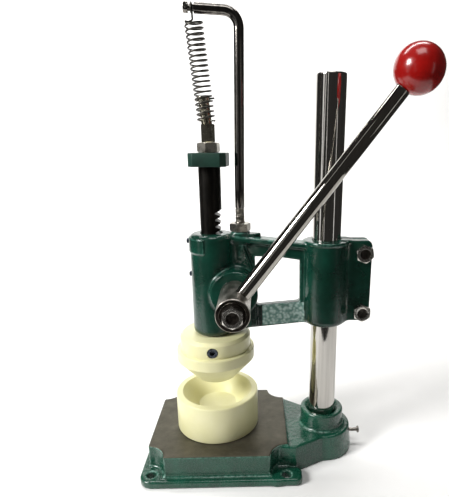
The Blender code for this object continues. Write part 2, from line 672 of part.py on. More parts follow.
def make_arm_casting(arm, finish):
    top_round = arc((BARREL_RADIUS - BARREL_TOP_EDGE, BARREL_HEIGHT - BARREL_TOP_EDGE), BARREL_TOP_EDGE,
                    0, math.pi / 2, 2)
    barrel = turned("arm_casting", [(0, 0)] + foot_round(BARREL_RADIUS, 0, BARREL_ROUND) + top_round + [
        (0, BARREL_HEIGHT)], LARGE_STEPS)
    casting = solid("arm_casting", barrel, finish, arm, (-THROAT, 0, 0))

    band = turned("arm_band", ring_profile(
        RAM_BORE + BAND_PROUD, BARREL_RADIUS + BAND_PROUD, BARREL_HEIGHT - BAND_HEIGHT,
        BARREL_HEIGHT - BARREL_TOP_EDGE), SMALL_STEPS, closed=True, angle=BAND_ANGLE)
    block = prism("arm_block", arm_points(BLOCK_OUTLINE_SHARES), -BLOCK_HALF, BLOCK_HALF, "XZ")
    bottom = prism(
        "arm_bottom_bar", arm_points(BOTTOM_BAR_SHARES), -BOTTOM_BAR_HALF, BOTTOM_BAR_HALF, "XZ")
    panel = prism("arm_panel", arm_points(BAR_PANEL_SHARES), -BOTTOM_BAR_HALF - BAR_PANEL_PROUD, 0, "XZ")
    web = helper("arm_web_casting", prism(
        "arm_web", arm_points(WEB_OUTLINE_SHARES), -WEB_HALF, WEB_HALF, "XZ"), arm)
    window_half = BLOCK_HALF + CROSS_BOSS_FILLET
    add(web, helper("arm_block", block, arm), helper(
        "arm_cross_boss", cross_boss("arm_cross_boss"), arm,
        (PINION_X - CROSS_BOSS_SHIFT, 0, PINION_HEIGHT), TO_FRONT))
    cut(web, helper("arm_window", prism(
        "arm_window", arm_points(WINDOW_SHARES), -window_half, window_half, "XZ"), arm))
    left_x, left_z, right_x, right_z = TOP_BAR_SHARES
    top_line = arm_points(((left_x, left_z), (right_x, right_z)))
    top_outline = [
        (top_line[0][0], top_line[0][1] - TOP_BAR_HEIGHT), (top_line[1][0], top_line[1][1] - TOP_BAR_HEIGHT),
        top_line[1], top_line[0]]
    top = prism("arm_top_bar", top_outline, -TOP_BAR_HALF, TOP_BAR_HALF, "XZ")
    clamp_top = CLAMP_RAISE + CLAMP_HEIGHT
    clamp = turned("arm_clamp", [(0, CLAMP_RAISE)] + foot_round(CLAMP_RADIUS, CLAMP_RAISE, CLAMP_ROUND) + [
        (CLAMP_RADIUS, clamp_top - LIP_HEIGHT), (CLAMP_RADIUS + LIP_PROUD, clamp_top - LIP_HEIGHT + LIP_PROUD),
        (CLAMP_RADIUS + LIP_PROUD, clamp_top - LIP_PROUD), (CLAMP_RADIUS, clamp_top), (0, clamp_top)],
        LARGE_STEPS)
    ears = prism("arm_ears", rounded_box(
        COLUMN_RADIUS / 2, CLAMP_EAR_REACH, CLAMP_EAR_RAISE, CLAMP_EAR_RAISE + CLAMP_EAR_HEIGHT,
        CLAMP_EAR_CORNER, 4), -EAR_HALF, EAR_HALF, "XZ")
    hanger_boss = rod(
        "arm_hanger_boss", HANGER_BOSS_RADIUS, BARREL_HEIGHT - HANGER_HOLE_DEPTH / 2, HANGER_BOSS_TOP,
        SMALL_STEPS)
    add(casting,
        helper("arm_band", band, arm, (-THROAT, 0, 0), (0, 0, math.pi)),
        web, helper("arm_bottom_bar", bottom, arm), helper("arm_panel", panel, arm),
        helper("arm_top_bar", top, arm), helper("arm_clamp", clamp, arm), helper("arm_ears", ears, arm),
        helper("arm_hanger_boss", hanger_boss, arm, (-HANGER_X, 0, 0)))

    split_outline = box_outline(
        COLUMN_RADIUS / 2, CLAMP_EAR_REACH + OVERRUN, CLAMP_RAISE - OVERRUN,
        CLAMP_EAR_RAISE + CLAMP_EAR_HEIGHT + OVERRUN)
    cut(casting,
        helper("arm_ram_bore", rod(
            "arm_ram_bore", RAM_BORE, -OVERRUN, BARREL_HEIGHT + OVERRUN, LARGE_STEPS), arm, (-THROAT, 0, 0)),
        helper("arm_column_bore", rod(
            "arm_column_bore", COLUMN_BORE, CLAMP_RAISE - OVERRUN, clamp_top + OVERRUN, LARGE_STEPS), arm),
        helper("arm_split", prism("arm_split", split_outline, -SPLIT_HALF, SPLIT_HALF, "XZ"), arm),
        helper("arm_chamber", rod(
            "arm_chamber", CHAMBER_RADIUS, -CROSS_BOSS_REAR - OVERRUN, CHAMBER_HALF, LARGE_STEPS), arm,
            (PINION_X, 0, PINION_HEIGHT), TO_FRONT),
        helper("arm_bush_bore", rod(
            "arm_bush_bore", BUSH_RADIUS + FIT, 0, CROSS_BOSS_FRONT + OVERRUN, LARGE_STEPS), arm,
            (PINION_X, 0, PINION_HEIGHT), TO_FRONT),
        helper("arm_hanger_hole", rod(
            "arm_hanger_hole", HANGER_RADIUS + FIT, HANGER_BOSS_TOP - HANGER_HOLE_DEPTH,
            HANGER_BOSS_TOP + OVERRUN), arm, (-HANGER_X, 0, 0)))
    for height, word in ((CLAMP_BOLT_LOW, "low"), (CLAMP_BOLT_HIGH, "high")):
        hole = rod("arm_bolt_hole_" + word, CLAMP_BOLT_RADIUS + FIT, -EAR_HALF - OVERRUN, EAR_HALF + OVERRUN)
        cut(casting, helper("arm_bolt_hole_" + word, hole, arm, (CLAMP_BOLT_X, 0, height), TO_FRONT))
    for height, word in ((GIB_LOW, "low"), (GIB_HIGH, "high")):
        hole = rod("arm_gib_hole_" + word, GIB_SCREW_RADIUS + FIT, 0, BARREL_RADIUS + BAND_PROUD + OVERRUN)
        cut(casting, helper("arm_gib_hole_" + word, hole, arm, (-THROAT, 0, height), TO_LEFT))


def make_arm_hardware(arm, steel, brass):
    for height, word in ((CLAMP_BOLT_LOW, "lower"), (CLAMP_BOLT_HIGH, "upper")):
        washer_y = EAR_HALF + FIT
        nut_y = washer_y + CLAMP_WASHER_THICKNESS + FIT
        length = EAR_HALF + FIT + nut_y + CLAMP_NUT_HEIGHT + CLAMP_BOLT_TAIL
        hex_bolt("clamp_bolt_" + word, CLAMP_BOLT_WIDTH, CLAMP_BOLT_HEAD, CLAMP_BOLT_RADIUS, length, steel, arm,
                 (CLAMP_BOLT_X, -EAR_HALF - FIT, height), TO_FRONT, math.pi / 6)
        washer("clamp_washer_" + word, CLAMP_BOLT_RADIUS + FIT, CLAMP_WASHER_RADIUS, CLAMP_WASHER_THICKNESS,
               steel, arm, (CLAMP_BOLT_X, washer_y, height), TO_REAR)
        hex_nut("clamp_nut_" + word, CLAMP_BOLT_WIDTH, CLAMP_NUT_HEIGHT, CLAMP_BOLT_RADIUS + FIT, steel, arm,
                (CLAMP_BOLT_X, nut_y, height), TO_REAR, math.pi / 6)
    plug_low = RAM_RADIUS + FIT
    plug_high = plug_low + GIB_PLUG_LENGTH
    solid("gib_plug", rod("gib_plug", GIB_PLUG_RADIUS, plug_low, plug_high), brass, arm,
          (-THROAT, 0, GIB_HIGH), TO_LEFT)
    for height, tip, outside, word in (
            (GIB_LOW, plug_low, BARREL_RADIUS, "lower"),
            (GIB_HIGH, plug_high + FIT, BARREL_RADIUS + BAND_PROUD, "upper")):
        end = outside + GIB_SCREW_SHOWING
        place = (-THROAT, 0, height)
        screw = solid("gib_screw_" + word, rod("gib_screw_" + word, GIB_SCREW_RADIUS, tip, end), steel, arm,
                      place, TO_LEFT)
        socket = prism("gib_socket_" + word, hexagon(GIB_SOCKET_WIDTH), end - GIB_SOCKET_DEPTH, end + OVERRUN)
        cut(screw, helper("gib_socket_" + word, socket, arm, place, TO_LEFT))


def make_bushes(arm, bronze):
    place = (PINION_X, 0, PINION_HEIGHT)
    front = ring_profile(SHAFT_RADIUS + FIT, BUSH_RADIUS, CHAMBER_HALF, CROSS_BOSS_FRONT - BUSH_COLLAR_INSET)
    solid("front_bush", turned("front_bush", front, SMALL_STEPS, closed=True), bronze, arm, place, TO_FRONT)
    rear = ring_profile(SHAFT_RADIUS + FIT, CHAMBER_RADIUS - FIT, -CROSS_BOSS_REAR, -CHAMBER_HALF)
    solid("rear_bush", turned("rear_bush", rear, LARGE_STEPS, closed=True), bronze, arm, place, TO_FRONT)


def hanger_height(x):
    # of the bent end's axis
    bend_x = -HANGER_X + HANGER_LEAN - HANGER_BEND
    end_x = bend_x + HANGER_BEND * math.sin(HANGER_RISE)
    end_z = HANGER_HEIGHT - HANGER_BEND + HANGER_BEND * math.cos(HANGER_RISE)
    return end_z + (end_x - x) * math.tan(HANGER_RISE)


def make_hanger(arm, rod_finish, steel):
    foot = HANGER_BOSS_TOP - HANGER_HOLE_DEPTH + FIT
    bend_x = -HANGER_X + HANGER_LEAN - HANGER_BEND
    bend_z = HANGER_HEIGHT - HANGER_BEND
    nub_end = -HANGER_REACH + HANGER_NUB_LENGTH
    groove_end = nub_end + HANGER_GROOVE_LENGTH
    step = HANGER_RADIUS / 10
    thin = HANGER_GROOVE_RADIUS / HANGER_RADIUS
    bend = arc((bend_x, bend_z), HANGER_BEND, 0, math.pi / 2 - HANGER_RISE, HANGER_BEND_STEPS)
    route = [(-HANGER_X, foot, 1), (-HANGER_X, foot + HANGER_STRAIGHT, 1)]
    route += [(x, z, 1) for x, z in bend]
    route += [
        (x, hanger_height(x), share) for x, share in (
            (groove_end + step, 1), (groove_end, thin), (nub_end, thin), (nub_end - step, 1),
            (-HANGER_REACH, 1))]
    curve = tube_curve("spring_hanger", [((x, 0, z), share) for x, z, share in route], HANGER_RADIUS,
                       HANGER_SIDES_RESOLUTION)
    thing = bpy.data.objects.new("spring_hanger", curve)
    bpy.context.scene.collection.objects.link(thing)
    thing.parent = arm
    curve.materials.append(rod_finish)
    hex_nut("hanger_nut", HANGER_NUT_WIDTH, HANGER_NUT_HEIGHT, HANGER_RADIUS + FIT, steel, arm,
            (-HANGER_X, 0, HANGER_BOSS_TOP + FIT), (0, 0, 0), math.radians(12))


def tube_curve(name, points, radius, resolution):
    curve = bpy.data.curves.new(name, "CURVE")
    curve.dimensions = "3D"
    curve.bevel_depth = radius
    curve.bevel_resolution = resolution
    curve.use_fill_caps = True
    line = curve.splines.new("POLY")
    line.points.add(len(points) - 1)
    for point, (place, share) in zip(line.points, points):
        point.co = (*place, 1)
        point.radius = share
    return curve


def pinion_outline():
    # involute teeth about the origin; one tooth points to -X
    base_radius = PITCH_RADIUS * math.cos(PRESSURE_ANGLE)
    root_radius = PITCH_RADIUS - DEDENDUM
    tip_radius = PITCH_RADIUS + ADDENDUM
    pitch_half = (TOOTH_PITCH / 2 - TOOTH_PLAY) / (2 * PITCH_RADIUS)
    at_pitch = math.tan(PRESSURE_ANGLE) - PRESSURE_ANGLE
    flank_steps = 2
    flank = [(root_radius, pitch_half + at_pitch)]
    for step in range(flank_steps + 1):
        radius = base_radius + (tip_radius - base_radius) * step / flank_steps
        angle = math.acos(min(1, base_radius / radius))
        flank.append((radius, pitch_half + at_pitch - (math.tan(angle) - angle)))
    points = []
    for tooth in range(PINION_TEETH):
        middle = math.pi + 2 * math.pi * tooth / PINION_TEETH
        points += [
            (radius * math.cos(middle - half), radius * math.sin(middle - half)) for radius, half in flank]
        points += [
            (radius * math.cos(middle + half), radius * math.sin(middle + half))
            for radius, half in reversed(flank)]
    return points


def make_pinion_group(pinion, steel, bright, dark, chrome, red):
    # local Z of these pieces runs towards -Y
    shaft_front = HUB_FRONT - RECESS_DEPTH - FIT
    washer_back = CROSS_BOSS_REAR + FIT
    clip_back = washer_back + REAR_WASHER_THICKNESS + FIT
    shaft_back = clip_back + CLIP_THICKNESS + SHAFT_TAIL
    groove_low = clip_back - FIT
    groove_high = clip_back + CLIP_THICKNESS + FIT
    shaft = solid("pinion_shaft", turned("pinion_shaft", [
        (0, -shaft_back), (SHAFT_RADIUS, -shaft_back), (SHAFT_RADIUS, -groove_high),
        (SHAFT_RADIUS - CLIP_GROOVE, -groove_high), (SHAFT_RADIUS - CLIP_GROOVE, -groove_low),
        (SHAFT_RADIUS, -groove_low), (SHAFT_RADIUS, shaft_front), (0, shaft_front)], SMALL_STEPS),
        steel, pinion, (0, 0, 0), TO_FRONT)
    teeth = prism("pinion_teeth", pinion_outline(), -PINION_WIDTH / 2, PINION_WIDTH / 2, "XZ")
    add(shaft, helper("pinion_teeth", teeth, pinion))
    cut(shaft, helper("pinion_bolt_hole", rod(
        "pinion_bolt_hole", HUB_BOLT_RADIUS + FIT, shaft_front - HUB_BOLT_GRIP, shaft_front + OVERRUN),
        pinion, (0, 0, 0), TO_FRONT))

    lever_turn = (0, math.pi / 2 - LEVER_ANGLE, 0)
    lever_place = (0, -LEVER_Y, 0)
    seat = HUB_RADIUS - LEVER_SEAT_DEPTH
    spigot_hole = rod(
        "lever_hole", LEVER_SPIGOT_RADIUS + FIT, -LEVER_SPIGOT_PAST - FIT, HUB_RADIUS + OVERRUN)
    cut(shaft, helper("lever_hole", spigot_hole, pinion, lever_place, lever_turn))

    hub = solid("handle_hub", turned("handle_hub", [
        (SHAFT_RADIUS + FIT, HUB_BACK), (HUB_RADIUS - HUB_EDGE, HUB_BACK), (HUB_RADIUS, HUB_BACK + HUB_EDGE),
        (HUB_RADIUS, HUB_FRONT - HUB_EDGE), (HUB_RADIUS - HUB_EDGE, HUB_FRONT),
        (RECESS_RADIUS, HUB_FRONT), (RECESS_RADIUS, HUB_FRONT - RECESS_DEPTH),
        (SHAFT_RADIUS + FIT, HUB_FRONT - RECESS_DEPTH)], LARGE_STEPS, closed=True),
        bright, pinion, (0, 0, 0), TO_FRONT)
    hub_hole = turned("hub_lever_hole", [
        (0, 0), (LEVER_SPIGOT_RADIUS + FIT, 0), (LEVER_SPIGOT_RADIUS + FIT, seat),
        (LEVER_ROOT_RADIUS + FIT, seat), (LEVER_ROOT_RADIUS + FIT, HUB_RADIUS + OVERRUN),
        (0, HUB_RADIUS + OVERRUN)], SMALL_STEPS)
    cut(hub, helper("hub_lever_hole", hub_hole, pinion, lever_place, lever_turn))

    washer_low = HUB_FRONT - RECESS_DEPTH + FIT
    washer("hub_washer", HUB_BOLT_RADIUS + FIT, RECESS_RADIUS - HUB_WASHER_PLAY, HUB_WASHER_THICKNESS, dark,
           pinion, (0, -washer_low, 0), TO_FRONT)
    bolt_seat = washer_low + HUB_WASHER_THICKNESS + FIT
    hex_bolt("hub_bolt", HUB_BOLT_WIDTH, HUB_BOLT_HEAD, HUB_BOLT_RADIUS,
             bolt_seat - (shaft_front - HUB_BOLT_GRIP) - FIT, steel, pinion, (0, -bolt_seat, 0), TO_FRONT,
             math.pi / 6)

    ball_face = LEVER_REACH - BALL_RADIUS + BALL_FLAT
    tip_end = ball_face - FIT
    thread_end = ball_face + BALL_THREAD_DEPTH
    lever = turned("handle_rod", [
        (0, -LEVER_SPIGOT_PAST), (LEVER_SPIGOT_RADIUS, -LEVER_SPIGOT_PAST), (LEVER_SPIGOT_RADIUS, seat + FIT),
        (LEVER_ROOT_RADIUS - RAM_CHAMFER, seat + FIT), (LEVER_ROOT_RADIUS, seat + FIT + RAM_CHAMFER),
        (LEVER_TIP_RADIUS, tip_end), (LEVER_SPIGOT_RADIUS, tip_end), (LEVER_SPIGOT_RADIUS, thread_end - FIT),
        (0, thread_end - FIT)], SMALL_STEPS)
    solid("handle_rod", lever, chrome, pinion, lever_place, lever_turn)

    flat_angle = math.acos(1 - BALL_FLAT / BALL_RADIUS)
    round_side = [
        (BALL_RADIUS * math.sin(flat_angle + (math.pi - flat_angle) * step / BALL_RINGS),
         LEVER_REACH - BALL_RADIUS * math.cos(flat_angle + (math.pi - flat_angle) * step / BALL_RINGS))
        for step in range(BALL_RINGS)]
    ball = turned("ball_knob", [
        (0, thread_end), (LEVER_SPIGOT_RADIUS + FIT, thread_end), (LEVER_SPIGOT_RADIUS + FIT, ball_face)]
        + round_side + [(0, LEVER_REACH + BALL_RADIUS)], LARGE_STEPS)
    solid("ball_knob", ball, red, pinion, lever_place, lever_turn)

    washer("rear_washer", SHAFT_RADIUS + FIT, REAR_WASHER_RADIUS, REAR_WASHER_THICKNESS, steel, pinion,
           (0, washer_back, 0), TO_REAR)
    clip = solid("rear_clip", turned("rear_clip", ring_profile(
        SHAFT_RADIUS - CLIP_GROOVE + FIT, CLIP_RADIUS, 0, CLIP_THICKNESS), SMALL_STEPS, closed=True),
        dark, pinion, (0, clip_back, 0), TO_REAR)
    mouth = box_outline(-CLIP_RADIUS / 3, CLIP_RADIUS / 3, -CLIP_RADIUS - OVERRUN, 0)
    cut(clip, helper("clip_mouth", prism(
        "clip_mouth", mouth, clip_back - OVERRUN, clip_back + CLIP_THICKNESS + OVERRUN, "XZ"), pinion))


def rack_cutter(name):
    # spaces between the rack's teeth, open towards +X; heights about the pinion's axis
    quarter = TOOTH_PITCH / 4 + TOOTH_PLAY / 2
    tangent = math.tan(PRESSURE_ANGLE)
    root_x = RACK_PITCH_OFFSET - DEDENDUM
    tip_x = RACK_PITCH_OFFSET + ADDENDUM
    back_x = RAM_RADIUS + OVERRUN
    root_half = quarter - DEDENDUM * tangent
    tip_half = quarter + ADDENDUM * tangent
    low = -(RACK_SPACES_BELOW + 0.5) * TOOTH_PITCH
    high = (RACK_SPACES_ABOVE + 0.5) * TOOTH_PITCH
    points = [(back_x, low), (tip_x, low)]
    for space in range(-RACK_SPACES_BELOW, RACK_SPACES_ABOVE + 1):
        middle = space * TOOTH_PITCH
        points += [(tip_x, middle - tip_half), (root_x, middle - root_half),
                   (root_x, middle + root_half), (tip_x, middle + tip_half)]
    points += [(tip_x, high), (back_x, high)]
    return prism(name, points, -RAM_RADIUS - OVERRUN, RAM_RADIUS + OVERRUN, "XZ")


def make_ram_group(ram, oiled, green, steel, nylon):
    # heights are above the barrel's foot
    plunger_top = -2 * FIT
    plunger_low = plunger_top - PLUNGER_HEIGHT
    ram_low = plunger_low + PLUNGER_FLOOR + FIT
    bar = solid("ram", rod("ram", RAM_RADIUS, ram_low, RAM_TOP, LARGE_STEPS, RAM_CHAMFER), oiled, ram)
    cut(bar, helper("ram_rack", rack_cutter("ram_rack"), ram, (0, 0, PINION_HEIGHT)))
    cut(bar, helper("ram_stud_hole", rod(
        "ram_stud_hole", STUD_THREAD_RADIUS + FIT, RAM_TOP - STUD_THREAD_DEPTH - FIT, RAM_TOP + OVERRUN), ram))

    corner = STOP_CORNER
    half = STOP_WIDTH / 2
    stop_outline = [
        (half - corner, -half), (half, -half + corner), (half, half - corner), (half - corner, half),
        (-half + corner, half), (-half, half - corner), (-half, -half + corner), (-half + corner, -half)]
    stop = solid("stop_collar", prism("stop_collar", stop_outline, STOP_BASE, STOP_TOP), green, ram,
                 (0, 0, 0), (0, 0, STOP_TURN))
    cut(stop, helper("stop_bore", rod(
        "stop_bore", STUD_THREAD_RADIUS + FIT, STOP_BASE - OVERRUN, STOP_TOP + OVERRUN), ram))
    hex_nut("collar_nut", STOP_NUT_WIDTH, STOP_NUT_HEIGHT, STUD_THREAD_RADIUS + FIT, steel, ram,
            (0, 0, STOP_TOP + FIT), (0, 0, 0), math.radians(20))

    thread_low = RAM_TOP - STUD_THREAD_DEPTH
    head_top = STUD_NECK_TOP + STUD_HEAD_HEIGHT
    head_edge = STUD_HEAD_HEIGHT / 6
    stud = solid("spring_stud", turned("spring_stud", rod_profile(
        STUD_THREAD_RADIUS, thread_low, STUD_PIVOT), SMALL_STEPS), steel, ram)
    neck_axis = guide("stud_neck_axis", (0, 0, STUD_PIVOT), ram)
    neck_axis.rotation_euler = (0, -STUD_LEAN, 0)
    add(stud, helper("stud_hexagon", prism(
        "stud_hexagon", hexagon(STUD_HEX_WIDTH, math.radians(8)), STUD_HEX_BASE, STUD_NECK_BASE), ram),
        helper("stud_neck", turned("stud_neck", [
            (0, 0), (STUD_NECK_RADIUS, 0), (STUD_NECK_RADIUS, STUD_NECK_TOP),
            (STUD_HEAD_RADIUS, STUD_NECK_TOP + head_edge), (STUD_HEAD_RADIUS, head_top - head_edge),
            (STUD_HEAD_RADIUS - head_edge, head_top), (0, head_top)], SMALL_STEPS), neck_axis))
    pin_z = SPRING_FOOT + (PIN_TURN + PIN_SHARE) * CURL_PITCH
    cut(stud, helper("stud_pin_hole", rod(
        "stud_pin_hole", PIN_RADIUS + FIT, -2 * STUD_NECK_RADIUS, 2 * STUD_NECK_RADIUS, 12), neck_axis,
        (0, 0, pin_z), TO_RIGHT))
    solid("spring_pin", rod(
        "spring_pin", PIN_RADIUS, -STUD_NECK_RADIUS, COIL_RADIUS + WIRE_RADIUS + PIN_SHOWING, 12), steel,
        neck_axis, (0, 0, pin_z), TO_RIGHT)

    body_top = PLUNGER_HEIGHT
    flange_low = PLUNGER_CONE_HEIGHT
    flange_high = flange_low + PLUNGER_FLANGE_HEIGHT
    edge = PLUNGER_FLANGE_EDGE
    nose = PLUNGER_NOSE_ROUND
    plunger = solid("upper_die", turned("upper_die", [
        (0, 0), (PLUNGER_NOSE_RADIUS - nose, 0), (PLUNGER_NOSE_RADIUS, nose),
        (PLUNGER_FLANGE_RADIUS - edge, flange_low - edge / 2), (PLUNGER_FLANGE_RADIUS, flange_low + edge / 2),
        (PLUNGER_FLANGE_RADIUS, flange_high - edge), (PLUNGER_FLANGE_RADIUS - edge, flange_high),
        (PLUNGER_BODY_RADIUS, flange_high), (PLUNGER_BODY_RADIUS, body_top - PLUNGER_SHOULDER),
        (PLUNGER_BODY_RADIUS - PLUNGER_SHOULDER, body_top), (RAM_BORE, body_top),
        (RAM_BORE, PLUNGER_FLOOR), (0, PLUNGER_FLOOR)], LARGE_STEPS), nylon, ram, (0, 0, plunger_low))
    screw_z = plunger_top - DIE_SCREW_DROP
    head_face = PLUNGER_BODY_RADIUS - 2 * FIT
    head_back = head_face - DIE_SCREW_HEAD_LENGTH
    bore = turned("die_screw_bore", [
        (0, 0), (DIE_SCREW_RADIUS + FIT, 0), (DIE_SCREW_RADIUS + FIT, head_back - FIT),
        (DIE_SCREW_HEAD_RADIUS + FIT, head_back - FIT), (DIE_SCREW_HEAD_RADIUS + FIT, PLUNGER_FLANGE_RADIUS),
        (0, PLUNGER_FLANGE_RADIUS)], SMALL_STEPS)
    cut(plunger, helper("die_screw_bore", bore, ram, (0, 0, screw_z), TO_FRONT))
    screw = solid("die_screw", turned("die_screw", [
        (0, RAM_RADIUS + FIT), (DIE_SCREW_RADIUS, RAM_RADIUS + FIT), (DIE_SCREW_RADIUS, head_back),
        (DIE_SCREW_HEAD_RADIUS, head_back), (DIE_SCREW_HEAD_RADIUS, head_face), (0, head_face)],
        SMALL_STEPS), steel, ram, (0, 0, screw_z), TO_FRONT)
    cut(screw, helper("die_screw_socket", prism(
        "die_screw_socket", hexagon(DIE_SCREW_SOCKET), head_face - DIE_SCREW_SOCKET_DEPTH,
        head_face + OVERRUN), ram, (0, 0, screw_z), TO_FRONT))


def smooth_route(points, steps):
    # Catmull-Rom through the points, without the first and the last
    route = []
    for before, start, end, after in zip(points, points[1:], points[2:], points[3:]):
        for step in range(steps):
            share = step / steps
            route.append(0.5 * (
                2 * start + (end - before) * share
                + (2 * before - 5 * start + 4 * end - after) * share ** 2
                + (3 * start - before - 3 * end + after) * share ** 3))
    return route


def spring_points():
    # about the ram's axis, heights above the barrel's foot
    lean = Matrix.Rotation(-STUD_LEAN, 3, "Y")
    pivot = Vector((0, 0, STUD_PIVOT))

    def leaning(x, y, height):
        return lean @ Vector((x, y, height)) + pivot

    steps = CURLS * CURL_POINTS + CURL_POINTS // 2
    rise = CURL_PITCH / CURL_POINTS
    run = 2 * WIRE_RADIUS
    points = [leaning(COIL_RADIUS, run, SPRING_FOOT)]
    for index in range(steps + 1):
        angle = -2 * math.pi * index / CURL_POINTS
        points.append(leaning(
            COIL_RADIUS * math.cos(angle), COIL_RADIUS * math.sin(angle), SPRING_FOOT + rise * index))

    # from the last curl up to the hanger's groove, and round it
    groove_x = GROOVE_X + THROAT
    groove_z = hanger_height(GROOVE_X)
    wrap = HANGER_GROOVE_RADIUS + FIT + WIRE_RADIUS
    last = points[-1]
    climb = (groove_z - last.z) / 4
    lead = [
        points[-2], last,
        Vector((last.x + (groove_x - last.x) * LEAD_SHARES[0], LEAD_SHARES[1] * COIL_RADIUS,
                last.z + climb * LEAD_SHARES[2])),
        Vector((groove_x, wrap, last.z + climb)),
        Vector((groove_x, wrap, last.z + 2 * climb)),
        Vector((groove_x, wrap, groove_z)),
        Vector((groove_x, wrap / 2, groove_z + wrap))]
    hook = []
    for step in range(HOOK_STEPS + 1):
        angle = HOOK_SWEEP * step / HOOK_STEPS
        hook.append(Vector((groove_x, wrap * math.cos(angle), groove_z + wrap * math.sin(angle))))
    tail = Vector((0, -math.sin(HOOK_SWEEP), math.cos(HOOK_SWEEP))) * run
    return points + smooth_route(lead, 4)[1:] + hook + [hook[-1] + tail]


def make_spring(ram, wire_finish):
    points = spring_points()
    curve = tube_curve("return_spring", [(tuple(point), 1) for point in points], WIRE_RADIUS, 1)
    thing = bpy.data.objects.new("return_spring", curve)
    bpy.context.scene.collection.objects.link(thing)
    thing.parent = ram
    curve.materials.append(wire_finish)
    # least distance between stretches of the wire that are more than half a curl apart
    apart = CURL_POINTS // 2 + 1
    least = min(
        (one - two).length
        for first, one in enumerate(points) for two in points[first + apart:]) - 2 * WIRE_RADIUS
    print("spring: curls", CURLS, "least gap to itself, mm", round(least * 1000, 2))


def build():
    clear_scene()
    enamel = painted("green_enamel", (0.015, 0.125, 0.090), 0.35, 0.0)
    chrome = painted("chrome_plate", (0.62, 0.60, 0.58), 0.12, 1.0)
    steel = painted("bright_steel", (0.55, 0.54, 0.52), 0.32, 1.0)
    turned_steel = painted("turned_steel", (0.60, 0.57, 0.54), 0.30, 1.0)
    black_steel = painted("black_steel", (0.035, 0.032, 0.030), 0.45, 0.8)
    oiled_steel = painted("oiled_steel", (0.040, 0.035, 0.028), 0.40, 0.8)
    bronze = painted("bronze", (0.45, 0.28, 0.10), 0.35, 1.0)
    nylon = painted("cream_nylon", (0.80, 0.76, 0.52), 0.45, 0.0)
    red = painted("red_ball", (0.75, 0.015, 0.012), 0.15, 0.0)

    base = make_base(enamel, steel)
    make_cup(base, nylon, steel)
    column = guide("column_axis", (0, 0, 0), base)
    make_column(column, chrome)
    arm = guide("arm_frame", (0, 0, ARM_FOOT), column)
    make_arm_casting(arm, enamel)
    make_arm_hardware(arm, steel, bronze)
    make_bushes(arm, bronze)
    make_hanger(arm, black_steel, steel)
    pinion = guide("pinion_axis", (PINION_X, 0, PINION_HEIGHT), arm)
    make_pinion_group(pinion, steel, turned_steel, black_steel, chrome, red)
    ram = guide("ram_axis", (-THROAT, 0, 0), arm)
    make_ram_group(ram, oiled_steel, enamel, steel, nylon)
    make_spring(ram, steel)
    print("stroke, mm", round(STROKE * 1000, 2), "lever turn, degrees",
          round(math.degrees(STROKE / PITCH_RADIUS), 2), "pinion axis, mm",
          round(PINION_X * 1000, 3), round((ARM_FOOT + PINION_HEIGHT) * 1000, 3))


build()
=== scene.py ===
import math

import bmesh
import bpy
import numpy as np
from mathutils import Matrix, Quaternion, Vector


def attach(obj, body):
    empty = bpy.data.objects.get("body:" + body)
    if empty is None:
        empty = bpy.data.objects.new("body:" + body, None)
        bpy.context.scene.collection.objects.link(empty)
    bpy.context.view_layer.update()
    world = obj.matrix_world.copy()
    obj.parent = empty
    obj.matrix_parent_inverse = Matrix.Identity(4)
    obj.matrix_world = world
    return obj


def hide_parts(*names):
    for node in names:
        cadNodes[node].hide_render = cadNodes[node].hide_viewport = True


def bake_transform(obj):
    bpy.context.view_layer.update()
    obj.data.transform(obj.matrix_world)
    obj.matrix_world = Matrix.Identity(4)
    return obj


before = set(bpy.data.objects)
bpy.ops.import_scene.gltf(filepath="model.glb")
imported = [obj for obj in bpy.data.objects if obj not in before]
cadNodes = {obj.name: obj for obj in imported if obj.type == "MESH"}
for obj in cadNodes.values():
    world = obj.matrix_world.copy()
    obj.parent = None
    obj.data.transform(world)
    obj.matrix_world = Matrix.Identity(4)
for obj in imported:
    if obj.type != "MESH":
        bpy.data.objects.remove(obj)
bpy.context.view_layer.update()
mm = 0.001
tau = 2 * math.pi

# places that several pieces share, in millimetres
press = {
    "throat": 113.25,       # column axis to ram axis
    "armFoot": 137.9,
    "barrelTop": 240.3,
    "pinionX": -90.0,
    "pinionZ": 184.5,
    "hubFront": -83.0,
    "leverAngle": 52.6,     # above +X, in degrees
    "leverAcross": -58.2,
    "hangerX": -85.2,
    "boltX": 35.6,
    "setScrewZ": 15.5,
    "dieScrewZ": 127.8,
    "boltHeights": {"lower": 160.0, "upper": 220.7},
    "gibHeights": {"lower": 198.9, "upper": 232.4},
}


# materials

def linearColour(text):
    # sRGB hex to the linear values that Blender's sockets take
    parts = [int(text[i:i + 2], 16) / 255 for i in (1, 3, 5)]
    return tuple(c / 12.92 if c <= 0.04045 else ((c + 0.055) / 1.055) ** 2.4 for c in parts) + (1.0,)


def feed(node, inputs):
    # links a socket or another node's first output; sets anything else, a hex colour as linear
    for socket, value in inputs.items():
        if isinstance(value, bpy.types.Node):
            value = value.outputs[0]
        if isinstance(value, bpy.types.NodeSocket):
            node.id_data.links.new(value, node.inputs[socket])
        elif isinstance(value, str) and value.startswith("#"):
            node.inputs[socket].default_value = linearColour(value)
        else:
            node.inputs[socket].default_value = value


def addNode(tree, kind, inputs=None, tones=(), **settings):
    node = tree.nodes.new(kind)
    for name, value in settings.items():
        setattr(node, name, value)
    feed(node, inputs or {})
    if tones:
        points = node.color_ramp.elements
        while len(points) < len(tones):
            points.new(0.5)
        for point, (position, colour) in zip(points, tones):
            point.position = position
            point.color = linearColour(colour)
    return node


def grainOf(size, detail=4.0, roughness=0.55):
    # a noise pattern's inputs, from the real size of its grain in millimetres
    return {"Scale": 1.0 / (size * mm), "Detail": detail, "Roughness": roughness}


